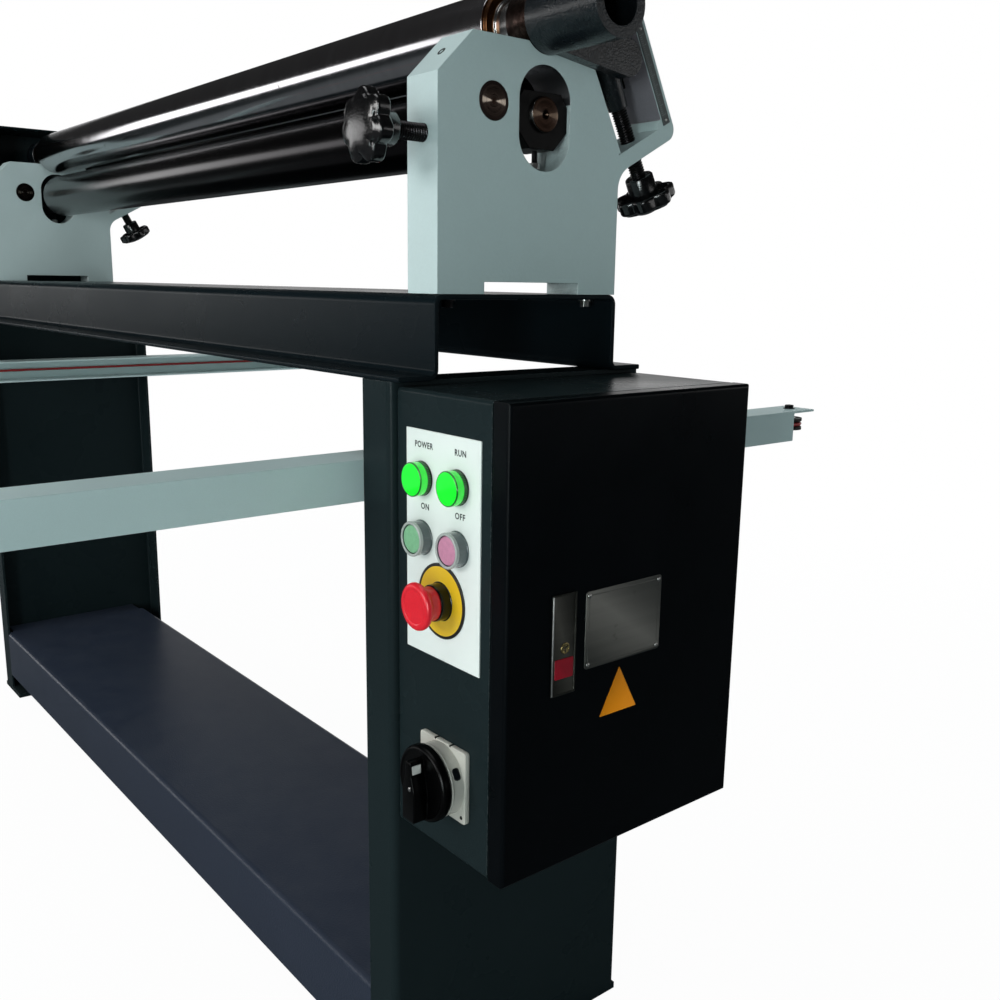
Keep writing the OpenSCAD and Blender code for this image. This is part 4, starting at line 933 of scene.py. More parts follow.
def makeTickTree():  # graduation lines along Y, each fifth one longer
    tree, start, end = newTree("tickTree", [
        ("Count", "Int", 41), ("Pitch", "Float", 2 * mm), ("Reach", "Float", 3 * mm),
        ("Width", "Float", 0.3 * mm), ("Rise", "Float", 0.1 * mm), ("Finish", "Material", None)])
    step = addNode(tree, "ShaderNodeCombineXYZ", {1: start["Pitch"]}).outputs[0]
    line = addNode(tree, "GeometryNodeMeshLine", {"Count": start["Count"], "Offset": step})
    cube = addNode(tree, "GeometryNodeMeshCube", {"Size": (1, 1, 1)})
    bar = addNode(tree, "GeometryNodeTransform",
                  {"Geometry": cube.outputs["Mesh"], "Translation": (0.5, 0, 0)})
    number = addNode(tree, "GeometryNodeInputIndex").outputs[0]
    rest = maths(tree, "MODULO", number, 5.0)
    long = maths(tree, "LESS_THAN", rest, 0.5)
    longer = plus(tree, 1.0, times(tree, long, 0.8))
    reach = times(tree, start["Reach"], longer)
    size = addNode(tree, "ShaderNodeCombineXYZ", {0: reach, 1: start["Width"], 2: start["Rise"]}).outputs[0]
    inputs = {"Points": line.outputs[0], "Instance": bar.outputs[0], "Scale": size}
    ticks = addNode(tree, "GeometryNodeInstanceOnPoints", inputs)
    return endTree(tree, start, end, ticks.outputs[0])


def makeRibTree():  # upright ribs round a barrel whose axis is Z
    tree, start, end = newTree("ribTree", [
        ("Count", "Int", 48), ("Radius", "Float", 14 * mm), ("Depth", "Float", 0.5 * mm),
        ("Width", "Float", 0.8 * mm), ("Length", "Float", 5 * mm), ("Finish", "Material", None)])
    ring = addNode(tree, "GeometryNodeMeshCircle", {"Vertices": start["Count"], "Radius": start["Radius"]})
    size = addNode(tree, "ShaderNodeCombineXYZ", {0: start["Depth"], 1: start["Width"], 2: start["Length"]})
    rib = addNode(tree, "GeometryNodeMeshCube", {"Size": size.outputs[0]})
    out = addNode(tree, "GeometryNodeInputPosition").outputs[0]
    turn = addNode(tree, "FunctionNodeAlignRotationToVector", {"Vector": out}, axis="X", pivot_axis="Z")
    inputs = {"Points": ring.outputs[0], "Instance": rib.outputs["Mesh"], "Rotation": turn.outputs[0]}
    ribs = addNode(tree, "GeometryNodeInstanceOnPoints", inputs)
    lifted = shifted(tree, ribs.outputs[0], times(tree, start["Length"], 0.5))
    return endTree(tree, start, end, lifted)


threadTree = makeThreadTree()
boltTree = makeBoltTree()
rivetTree = makeRivetTree()
tickTree = makeTickTree()
ribTree = makeRibTree()
print("geometry node trees made")

# Stand: bed, legs, shelf and arms

standValues = {"bed": 1.2, "leg": 1.8, "shelf": 0.8, "arm": 0.8}  # edge radii


def makeStand():
    softenedCopy("bed", standValues["bed"], ["bedPaint"])
    for side in ("right", "left"):
        softenedCopy("leg_" + side, standValues["leg"], ["standPaint"])
        softenedCopy("arm_" + side, standValues["arm"], ["armPaintLightened"])
    softenedCopy("shelf", standValues["shelf"], ["shelfPaint"])


# End frames with their slots, pins, blocks and guides

frameValues = {
    "edge": 1.4, "slotMiddle": (5, 995), "slotSize": (63, 94), "corner": (-118, 835), "guideAngle": 62,
    "wallN": 330, "recessY": (-66, 54), "recessZ": (835.5, 847), "setScrew": (728, -97.3, 1042.7),
    "bolts": (-90, 85.6), "boltX": 728, "padTop": 830,
}
footBolt = boltValues(6, 5.4, 5.6, 0.5, 7.4, 1.6)


def guidePoint(n, t):  # Y and Z of a point n across and t up the inclined guide
    a = math.radians(frameValues["guideAngle"])
    y, z = frameValues["corner"]
    return y + n * math.sin(a) - t * math.cos(a), z + n * math.cos(a) + t * math.sin(a)


def guideAxes():
    a = math.radians(frameValues["guideAngle"])
    return Vector((0, math.sin(a), math.cos(a))), Vector((0, -math.cos(a), math.sin(a)))


def frameFinish(centre, normal):  # machined guide wall and slot, rough cast foot recess, painted elsewhere
    if abs(normal.x) > 0.3:
        return 0
    y0, y1 = frameValues["recessY"]
    z0, z1 = frameValues["recessZ"]
    if y0 < centre.y < y1 and z0 < centre.z < z1:
        return 2
    y, z = frameValues["slotMiddle"]
    width, height = frameValues["slotSize"]
    if abs(centre.y - y) < width / 2 + 1 and abs(centre.z - z) < height / 2 + 1:
        return 2 if centre.z < z + (height - width) / 2 else 3
    across, up = guideAxes()
    y, z = frameValues["corner"]
    away = Vector((0, centre.y - y, centre.z - z))
    n, t = away.dot(across), away.dot(up)
    if abs(n - frameValues["wallN"]) < 1 and t > 20:
        return 1
    return 0


def makeFrames():
    names = ["framePaint", "machinedWall", "castPaint", "slotWall"]
    for side in ("right", "left"):
        softenedCopy("end_frame_" + side, frameValues["edge"], names, 3, frameFinish)
    softenedCopy("pivot_pins", 0.8, ["pinSteel"], 2)
    softenedCopy("lower_blocks", 0.9, ["castBlocks"])
    softenedCopy("rear_blocks", 0.7, ["castBlocks"])
    parts = []
    x, y, z = frameValues["setScrew"]
    for sign in (-1, 1):
        place = frameAt((sign * x, y, z), (1, 0, 0), (0, 1, 1))
        profile = [(0, -3, 0), (4.2, -3, 0), (4.2, 0.4, 0), (2.4, 0.4, 0), (2.4, -2.4, 0), (0, -2.6, 0)]
        parts.append((turnedMesh("setScrew", profile, place, 0.3, 24), ["screwSteel"]))
    joinedPiece("chamferScrews", parts, "root")
    # Feet bolted up through the bed, darkened screws in front and plain ones behind
    for name, finish, y in (("frontFootBolts", "screwSteel", frameValues["bolts"][0]),
                            ("rearFootBolts", "boltSteel", frameValues["bolts"][1])):
        spots = [((sign * frameValues["boltX"], y, frameValues["padTop"]), (0, 0, -1)) for sign in (-1, 1)]
        grownPiece(name, boltTree, footBolt, spots, finish, "root")


stopValues = {"x": 737, "y": 5, "low": 936, "top": 967.6, "nutZ": 951.0}
stopNut = boltValues(6, 5.6, 4.2, 0.3, 6.2, 0.8, 0.62)


def makeStopScrews():
    parts = []
    for sign in (-1, 1):
        place = frameAt((sign * stopValues["x"], stopValues["y"], stopValues["low"]), (1, 0, 0), (0, 1, 0))
        length = stopValues["top"] - stopValues["low"]
        parts.append((growMesh(threadTree, {"Radius": 3 * mm, "Pitch": 1 * mm, "Depth": 0.45 * mm,
                      "Length": length * mm, "Rows": 160, "Around": 17, "Finish": finishes["screwSteel"]},
                      place=place), ["screwSteel"]))
    joinedPiece("stopScrewThreads", parts, "root", ("stop_screws",), 60)
    spots = [((sign * stopValues["x"], stopValues["y"], stopValues["nutZ"]), (0, 0, 1)) for sign in (-1, 1)]
    grownPiece("stopScrewNuts", boltTree, stopNut, spots, "boltSteel", "root")


scaleValues = {"face": 751.8, "first": 26, "n": 332.2, "pitch": 2.0, "reach": 3.4, "rivets": (20.5, 111.5),
               "rivetOff": 3.8}


def makeScales():
    softenedCopy("guide_scales", 0.2, ["stripPaint"])
    across, up = guideAxes()
    parts, spots = [], []
    for sign in (-1, 1):
        face = sign * scaleValues["face"]
        y, z = guidePoint(scaleValues["n"], scaleValues["first"])
        place = frameAt((face, y, z), across, up)
        parts.append((growMesh(tickTree, {"Count": 41, "Pitch": scaleValues["pitch"] * mm,
                      "Reach": scaleValues["reach"] * mm, "Width": 0.35 * mm, "Rise": 0.16 * mm,
                      "Finish": finishes["stripInk"]}, place=place), ["stripInk"]))
        for t in scaleValues["rivets"]:
            y, z = guidePoint(scaleValues["n"] + scaleValues["rivetOff"], t)
            spots.append(((face, y, z), (sign, 0, 0)))
    joinedPiece("scaleTicks", parts, "root")
    rivet = {"Radius": 1.7 * mm, "Crown": 0.6}
    grownPiece("scaleRivets", rivetTree, rivet, spots, "boltSteel", "root", 60)


# Rolls, turned with their journals, grooves and centre holes

rollValues = {
    "half": 675, "radius": 37.5, "top": (6, 1080.6), "lower": (6, 999), "rear": (101.542, 1053.664),
    "topHalf": 700, "ring": (35, 4.4), "ringStep": (27.5, 6), "neck": (25.6, 724.5), "collar": (29.2, 752),
    "topEnd": 796.6, "lowerEnd": 750.6, "rearEnd": 716.6, "journals": (20, 16, 14),
}


def rollPlace(centre):
    return frameAt((0, *centre), (0, 1, 0), (0, 0, 1))


def mirroredProfile(half):  # half runs from the middle out to the right pole
    left = []
    for i in range(len(half) - 1, 0, -1):
        left.append((half[i][0], -half[i][1], half[i + 1][2] if i + 1 < len(half) else half[i][2]))
    return left + half


def journalEnd(journal, end):  # flat end with a drilled centre hole
    return [(journal, end, 1), (3.6, end, 2), (1.3, end - 3.2, 2), (0, end - 6, 2)]


def makeRolls():
    v = rollValues
    radius, half = v["radius"], v["half"]
    topJournal, lowerJournal, rearJournal = v["journals"]
    # The top roll runs on past a bronze washer to a bright neck and a dark collar that lies in the frame
    start = v["topHalf"]
    (ring, ringWide), (step, stepWide) = v["ring"], v["ringStep"]
    (neck, neckEnd), (collar, collarEnd) = v["neck"], v["collar"]
    topHalf = [(radius, 10, 0), (radius, start, 0), (ring, start, 3), (ring, start + ringWide, 3),
               (step, start + ringWide, 3), (step, start + stepWide, 3), (neck, start + stepWide, 4),
               (neck, neckEnd, 4), (neck - 0.6, neckEnd, 5), (collar, neckEnd + 0.3, 5),
               (collar, collarEnd, 5),
               (topJournal, collarEnd, 1)] + journalEnd(topJournal, v["topEnd"])
    lowerHalf = [(radius, 10, 5), (radius, half, 5), (lowerJournal, half, 5)]
    lowerHalf += journalEnd(lowerJournal, v["lowerEnd"])
    rearHalf = [(radius, 10, 5), (radius, half, 5), (rearJournal, half, 5)]
    rearHalf += journalEnd(rearJournal, v["rearEnd"])
    topNames = ["rollSteel", "neckSteel", "journalEnd", "bronzeRing", "neckSteel", "collarSteel"]
    # The lower and rear rolls take the darker copy of the roll steel: painted shade.
    lowNames = topNames[:5] + ["shadedRollSteel"]
    for node, profile, centre, names in (("top_roll", topHalf, "top", topNames),
                                         ("lower_roll", lowerHalf, "lower", lowNames),
                                         ("rear_roll", rearHalf, "rear", lowNames)):
        turnedPiece(node + "Turned", mirroredProfile(profile), rollPlace(rollValues[centre]), names,
                    bodyOf[node],
                    (node,), 0.9, 96)


# Sleeve housing of the top roll and its bearing at the other end

housingValues = {
    "edge": 2.2, "leftEdge": 1.6, "bore": 21, "sleeve": 31, "sleeveEnd": 724, "sleeveFrom": 752.4,
}


def offRoll(place):  # distance from the top roll's axis
    y, z = rollValues["top"]
    return math.hypot(place.y - y, place.z - z)


def housingFinish(centre, normal):
    return 1 if offRoll(centre) < housingValues["bore"] and abs(normal.x) < 0.3 else 0


def shorterSleeve(place):  # the roll's collar takes the sleeve's place inside the frame
    if abs(place.x) < housingValues["sleeveEnd"] and offRoll(place) < housingValues["sleeve"]:
        place.x = math.copysign(housingValues["sleeveFrom"], place.x)
    return place


def makeHousings():
    for node, edge in (("release_housing", "edge"), ("top_bearing_left", "leftEdge")):
        softenedCopy(node, housingValues[edge], ["hammerPaint", "boreBlack"], 3, housingFinish, shorterSleeve)


# Star knobs and threaded screws

knobValues = {
    "lobes": 7, "outer": 32.0, "valley": 26.4, "thick": 14, "crown": 5.0, "hub": 15, "hubLength": 18,
    "corner": 3.4, "pocket": 6.0, "wall": 3.6,
}


def knobReach(angle):  # outline of the lobes
    v = knobValues
    wave = 0.5 + 0.5 * math.cos(v["lobes"] * angle)
    return v["valley"] + (v["outer"] - v["valley"]) * wave ** 0.62


def knobMesh(name, place):  # own Z runs from the crown to the screw, with Z = 0 at the disc's face
    v = knobValues
    rows = [("flat", 0.0, -v["crown"])]
    for share in (0.12, 0.25, 0.38, 0.5, 0.62, 0.74, 0.84):
        rows.append(("lobe", share, -v["crown"] * (1 - share ** 2.2)))
    inset = v["corner"]
    for k in range(6):
        a = math.radians(90 * k / 5)
        rows.append(("edge", inset * (1 - math.sin(a)), 0.35 + inset * (1 - math.cos(a))))
    for depth in (0.35, 0.7, 1.0):
        rows.append(("edge", 0.0, 0.35 + inset + (v["thick"] - 2.0 - inset - 0.35) * depth))
    rows += [("edge", 0.6, v["thick"] - 0.6), ("edge", 1.8, v["thick"]), ("edge", v["wall"], v["thick"]),
             ("edge", v["wall"] + 0.5, v["thick"] - 0.6), ("edge", v["wall"] + 1.2, v["thick"] - v["pocket"])]
    hubEnd = v["thick"] + v["hubLength"]
    hub, floor = v["hub"], v["thick"] - v["pocket"]
    rows += [("round", hub + 2.2, floor), ("round", hub + 0.4, floor + 1), ("round", hub, v["thick"]),
             ("round", hub - 0.3, hubEnd - 1.4), ("round", hub - 1.5, hubEnd), ("round", 11.0, hubEnd),
             ("round", 10.6, hubEnd - 0.6), ("flat", 0.0, hubEnd - 0.6)]
    steps = 28 * v["lobes"]
    work = bmesh.new()
    rings = []
    for kind, value, z in rows:
        if kind == "flat":
            rings.append([work.verts.new((0, 0, z * mm))])
            continue
        ring = []
        for k in range(steps):
            angle = 2 * math.pi * k / steps
            reach = knobReach(angle)
            if kind == "lobe":
                even = v["valley"] + 2.5
                blend = value ** 2
                r = value * (even * (1 - blend) + (reach - inset) * blend) / 0.92
                r = min(r, reach - inset - 0.3)
            elif kind == "edge":
                r = reach - value
            else:
                r = value
            ring.append(work.verts.new((r * mm * math.cos(angle), r * mm * math.sin(angle), z * mm)))
        rings.append(ring)
    for low, high in zip(rings, rings[1:]):
        joinRings(work, low, high)
    bmesh.ops.recalc_face_normals(work, faces=work.faces)
    return meshFrom(work, name, place)


screwValues = {
    "radius": 8, "pitch": 2.6, "depth": 1.3, "shank": 6.9,
    "frontX": 729, "frontZ": 973, "rearX": 731, "rearN": 296.5,
    # along the screw: the knob's disc, the thread's two ends and the shank's two ends
    "front": (-182, (-152, -112), (-168, -34)), "rear": (-53, (-23, 106), (-39, 105.5)),
}


def adjuster(end, side, place):  # screw and star knob, own Z from the knob into the frame
    v = screwValues
    disc, (start, stop), (low, high) = v[end]
    length = stop - start
    thread = growMesh(threadTree,
                      {"Radius": v["radius"] * mm, "Pitch": v["pitch"] * mm, "Depth": v["depth"] * mm,
                      "Length": length * mm, "Rows": int(length * 2.5) + 1, "Around": 25,
                      "Finish": finishes["screwSteel"]}, place=place @ shift(0, 0, start))
    shank = turnedMesh("shank", [(0, low, 0), (v["shank"], low, 0), (v["shank"], high, 0), (0, high, 0)],
                       place, 0.6,
                       24)
    node = end + "_screw_" + side
    joinedPiece(node + "Thread", [(thread, ["screwSteel"]), (shank, ["screwSteel"])], bodyOf[node],
                (node,), 60)
    node = end + "_knob_" + side
    mesh = knobMesh(node, place @ shift(0, 0, disc))
    finishMesh(mesh, ["knobBlack"], 50)
    addPiece(node + "Star", mesh, bodyOf[node], (node,))


def makeAdjusters():
    v = screwValues
    up = guideAxes()[1]
    y, z = guidePoint(v["rearN"], 0)
    for side, sign in (("right", 1), ("left", -1)):
        adjuster("front", side, frameAt((sign * v["frontX"], 0, v["frontZ"]), axes["Z"], axes["X"]))
        adjuster("rear", side, frameAt((sign * v["rearX"], y, z), axes["X"], up.cross(axes["X"])))


# Drive end: gear guard and motor housing with their cover screws

driveValues = {  # face, front and rear edge, foot and top of each cover
    "guard": (-871.3, (-119, 105), (754, 1130)), "box": (-938, (-152, 148), (333, 754)),
    "inset": 14, "topClear": 34, "rows": 3,
}
coverScrew = boltValues(20, 4.6, 2.6, 1.4, 5.8, 0.7, 0.45)


def makeDriveEnd():
    softenedCopy("gear_guard", 1.2, ["standPaint"], 3)
    softenedCopy("motor_housing", 0.5, ["standPaint"])
    v = driveValues
    spots = []
    for x, (y0, y1), (z0, z1) in (v["guard"], v["box"]):
        rise = z1 - z0 - 2 * v["inset"] - v["topClear"]
        for y in (y0 + v["inset"], y1 - v["inset"]):
            for k in range(v["rows"]):
                spots.append(((x, y, z0 + v["inset"] + rise * k / (v["rows"] - 1)), (-1, 0, 0)))
    grownPiece("coverScrews", boltTree, coverScrew, spots, "screwSteel", "root")


# Cabinet, door, latch, bare plate and blank sign

doorValues = {
    "face": 894.5, "plateY": (-62.9, 33.0), "plateZ": (513.7, 585.0), "plateThick": 0.9, "plateEdge": 4.0,
    "pressedLine": 1.2, "signApex": (-18.0, 507.0), "signBase": (-41.5, 6.0, 463.6),
    "latchY": (-102.6, -74.6), "latchZ": (497.5, 588.5),
}


def makeCabinet():
    softenedCopy("cabinet_body", 0.6, ["standPaint"])
    softenedCopy("cabinet_door", 0.8, ["doorPaint"], 2)
    piece = frame["nodes"]["mounting_plate"]
    piece.data.materials.clear()
    piece.data.materials.append(finishes["zincPlate"])


def makeDoorPlates():
    v = doorValues
    y0, y1 = v["plateY"]
    z0, z1 = v["plateZ"]
    place = facingRight(v["face"], (y0 + y1) / 2, (z0 + z1) / 2)
    width, height = y1 - y0, z1 - z0
    thick, line = v["plateThick"], v["pressedLine"]
    plate = plateMesh("plate", roundedRect(width, height, 3), 0, thick, place, 0.25)
    # A pressed line runs round the bare plate
    outer = roundedRect(width - 7, height - 7, 2)
    inner = roundedRect(width - 7 - line, height - 7 - line, 1.6)
    pressed = ringPlate(outer, inner, thick - 0.1, thick + 0.12, place)
    joinedPiece("barePlate", [(plate, ["nameplateMetal"]), (pressed, ["nameplateMetal"])], "door")
    e = v["plateEdge"]
    spots = [((v["face"] + thick, y, z), (1, 0, 0)) for y in (y0 + e, y1 - e) for z in (z0 + e, z1 - e)]
    rivet = {"Radius": 2.1 * mm, "Crown": 0.55}
    grownPiece("plateRivets", rivetTree, rivet, spots, "boltSteel", "door", 60)
    ay, az = v["signApex"]
    by0, by1, bz = v["signBase"]
    outline = softCorners([(by0, bz), (by1, bz), (ay, az)], 1.2)
    mesh = plateMesh("blankSign", outline, 0, 0.35, facingRight(v["face"], 0, 0), 0.1)
    finishMesh(mesh, ["signYellow"])
    addPiece("blankSign", mesh, "door")


def softCorners(points, radius, steps=4):
    result = []
    for i, point in enumerate(points):
        here = Vector(point)
        before, after = Vector(points[i - 1]) - here, Vector(points[(i + 1) % len(points)]) - here
        start, end = here + before.normalized() * radius, here + after.normalized() * radius
        for k in range(steps + 1):
            t = k / steps
            result.append(tuple((1 - t) ** 2 * start + 2 * t * (1 - t) * here + t * t * end))
    return result


def ringPlate(outer, inner, low, high, place):  # flat frame between two outlines of equal count
    work = bmesh.new()
    rows = []
    for outline, z in ((outer, low), (outer, high), (inner, high), (inner, low)):
        rows.append([work.verts.new((x * mm, y * mm, z * mm)) for x, y in outline])
    for i in range(4):
        one, two = rows[i], rows[(i + 1) % 4]
        for k in range(len(one)):
            n = (k + 1) % len(one)
            work.faces.new((one[k], one[n], two[n], two[k]))
    bmesh.ops.recalc_face_normals(work, faces=work.faces)
    return meshFrom(work, "ringPlate", place)


def makeLatch():
    v = doorValues
    y0, y1 = v["latchY"]
    z0, z1 = v["latchZ"]
    place = facingRight(v["face"], (y0 + y1) / 2, (z0 + z1) / 2)
    width, height = y1 - y0, z1 - z0
    outer, inner = roundedRect(width, height, 1.2), roundedRect(width - 2.6, height - 2.8, 0.8)
    parts = [(plateMesh("latchPlate", outer, 0, 1.1, place, 0.25), ["latchPlate"]),
             (ringPlate(outer, inner, 0.6, 1.7, place), ["latchPlate"])]
    rim = place @ shift(0.8 - width / 2)
    parts.append((plateMesh("rim", roundedRect(1.4, height - 2, 0.5, 3), 1.0, 2.4, rim, 0.3), ["boltSteel"]))
    lock = place @ shift(1.6, -3.4)
    parts.append((turnedMesh("lock", [(0, 0, 0), (5.0, 0, 0), (5.0, 1.9, 0), (3.7, 1.9, 0), (3.7, 1.4, 0),
                                      (1.6, 1.4, 0), (1.5, 0.7, 0), (0, 0.7, 0)], lock, 0.25, 32),
                  ["brassLock"]))
    for turn in (35, 155, 275):
        tooth = lock @ Matrix.Rotation(math.radians(turn), 4, "Z") @ shift(2.6)
        parts.append((plateMesh("tooth", roundedRect(2.4, 0.9, 0.3, 3), 1.2, 1.85, tooth, 0), ["boreBlack"]))
    catch = place @ shift(0.6, -21.4)
    parts.append((plateMesh("catch", roundedRect(21.4, 18, 1.2), 0.9, 1.95, catch, 0.4, 3), ["lockRed"]))
    joinedPiece("latchStrip", parts, "door", ("door_latch",))


# Control plate with its legends and devices

panelValues = {
    "face": -153.5, "lampX": (778, 830), "lampZ": 677, "buttonZ": 623.7, "stop": (807.4, 572),
    "letterHeight": 5.7,
    "legends": (("POWER", 767.2, 794.2, 706.8), ("RUN", 825.4, 841.0, 706.4), ("ON", 776.2, 788.2, 652.4),
                ("OFF", 826.2, 840.2, 652.4)),
}


def legendMesh(word, left, right, height, z, face):  # a word fitted between two edges
    curve = bpy.data.curves.new(word, "FONT")
    curve.body = word
    curve.extrude = 0.01
    curve.resolution_u = 4
    curve.offset = 0.026
    curve.space_character = 1.12
    piece = bpy.data.objects.new(word, curve)
    scene.collection.objects.link(piece)
    mesh = bpy.data.meshes.new_from_object(piece.evaluated_get(bpy.context.evaluated_depsgraph_get()))
    bpy.data.objects.remove(piece)
    bpy.data.curves.remove(curve)
    xs, ys = [v.co.x for v in mesh.vertices], [v.co.y for v in mesh.vertices]
    wide, tall = (right - left) / (max(xs) - min(xs)), height / (max(ys) - min(ys))
    middle = Matrix.Translation((-(max(xs) + min(xs)) / 2, -(max(ys) + min(ys)) / 2, 0))
    sized = Matrix.Diagonal((wide * mm, tall * mm, 6 * mm, 1))
    mesh.transform(facingFront((left + right) / 2, face, z) @ sized @ middle)
    work = bmesh.new()
    work.from_mesh(mesh)
    bmesh.ops.remove_doubles(work, verts=work.verts, dist=1e-7)
    bmesh.ops.recalc_face_normals(work, faces=work.faces)
    work.to_mesh(mesh)
    work.free()
    return mesh


def makePanel():
    v = panelValues
    softenedCopy("control_panel", 0.25, ["panelPlate"])
    parts = []
    for word, left, right, z in v["legends"]:
        parts.append((legendMesh(word, left, right, v["letterHeight"], z, v["face"]), ["legendInk"]))
    joinedPiece("legends", parts, "root")


def makeSignalLamps():
    v = panelValues
    for node, x in (("lamp_power", v["lampX"][0]), ("lamp_run", v["lampX"][1])):
        place = facingFront(x, v["face"], v["lampZ"])
        barrel = [(0, -44, 0), (10.4, -44, 0), (10.4, 0, 0), (15.6, 0, 0), (15.6, 1.2, 0), (15.2, 1.6, 0),
                  (15.1, 3.0, 0), (14.0, 3.2, 0), (0, 3.0, 0)]
        turnedPiece(node + "Bezel", barrel, place, ["bezelBlack"], "root", (), 0.4)
        dome = [(0, 2.6, 1), (14.5, 2.6, 1), (14.6, 4.4, 1), (15.1, 4.7, 0), (15.3, 11.4, 0), (15.1, 12.1, 1),
                (14.5, 12.4, 1), (14.1, 12.2, 1), (13.9, 12.3, 0), (7, 12.7, 0), (0, 12.85, 0)]
        lens = turnedMesh("lens", dome, place, 0.35)
        ribs = growMesh(ribTree, {"Count": 60, "Radius": 14.9 * mm, "Depth": 0.9 * mm, "Width": 0.7 * mm,
                                  "Length": 3.4 * mm, "Finish": finishes["lensDeep"]},
                        place=place @ shift(0, 0, 1.4))
        parts = [(lens, ["lensGreen", "lensDeep"]), (ribs, ["lensDeep"])]
        joinedPiece(node + "Lens", parts, "root", (node,), 40)


def makeButtons():
    v = panelValues
    parts = []
    for x in v["lampX"]:
        place = facingFront(x, v["face"], v["buttonZ"])
        profile = [(0, -44, 0), (10.3, -44, 0), (10.3, 0, 0), (16.0, 0, 0), (16.0, 1.2, 0), (15.4, 1.5, 0),
                   (15.3, 2.0, 0), (15.5, 9.8, 0), (15.8, 11.6, 1), (15.4, 12.7, 1), (14.2, 13.0, 1),
                   (13.3, 12.7, 1), (13.05, 11.8, 1), (13.0, 2.4, 0), (0, 2.3, 0)]
        parts.append((turnedMesh("boot", profile, place, 0.5), ["bootGrey", "bootRim"]))
    joinedPiece("buttonBoots", parts, "root", ("button_collars",), 40)
    for node, x, finish in (("button_on", v["lampX"][0], "capGreen"),
                            ("button_off", v["lampX"][1], "capPink")):
        place = facingFront(x, v["face"], v["buttonZ"])
        profile = [(0, 5.6, 0), (12.6, 5.6, 0), (12.65, 10.9, 0), (12.1, 11.7, 0), (7, 12.1, 0),
                   (0, 12.25, 0)]
        turnedPiece(node + "Cap", profile, place, [finish], bodyOf[node], (node,), 0.6)


def makeStopButton():
    v = panelValues
    x, z = v["stop"]
    place = facingFront(x, v["face"], z)
    profile = [(0, -44, 2), (10.3, -44, 2), (10.3, 0, 2), (34.0, 0, 1), (34.0, 1.25, 1), (31.2, 1.35, 1),
               (31.1, 1.45, 0), (17.6, 1.5, 0), (17.3, 1.7, 2), (16.7, 2.2, 2), (16.4, 10.6, 2),
               (16.1, 11.6, 2), (15.65, 11.6, 2), (15.6, 0.9, 2), (8.1, 0.8, 2), (8.1, -15, 2), (0, -15, 2)]
    turnedPiece("stopRing", profile, place, ["ringYellow", "ringBorder", "bezelBlack"], "root",
                ("emergency_base",), 0.3, 80)
    # The head has a shallow dish, a rounded rim and a waisted skirt
    profile = [(0, -8, 0), (7.8, -8, 0), (7.8, 11.2, 0), (15.0, 11.2, 0), (15.3, 12.4, 0), (15.1, 19.6, 0),
               (15.7, 21.8, 0), (18.4, 22.9, 0), (20.8, 24.2, 0), (21.3, 26.4, 0), (20.8, 28.4, 0),
               (19.2, 29.8, 0), (17.4, 30.3, 0), (15.9, 30.2, 0), (15.0, 29.7, 0), (8, 29.5, 0), (0, 29.5, 0)]
    node = "emergency_button"
    turnedPiece("stopHead", profile, place, ["headRed"], bodyOf[node], (node,), 0.8, 80)


# Main switch

switchValues = {
    "x": 813.5, "z": 409, "wall": -152, "side": 68, "plate": 5, "collar": 18.5, "disc": 29, "grip": 42.5,
    "gripHalf": (9.2, 4.6, 3.9), "notch": 11, "notchDepth": 1.6, "corner": 28.5,
}
cornerMark = boltValues(16, 1.5, 0.3, 0.7, 1.8, 0.1, 0.5)


def notchedPlate(side, notch, depth):  # square with two small notches on its top edge
    half = side / 2
    points = roundedRect(side, side, 3)
    top = [i for i, (x, y) in enumerate(points) if y > half - 0.01]
    first = max(i for i in top if points[i][0] > 0)
    cuts = []
    for x in (notch, -notch):
        cuts += [(x + 1.1, half), (x + 1.1, half - depth), (x - 1.1, half - depth), (x - 1.1, half)]
    return points[:first + 1] + cuts + points[first + 1:]


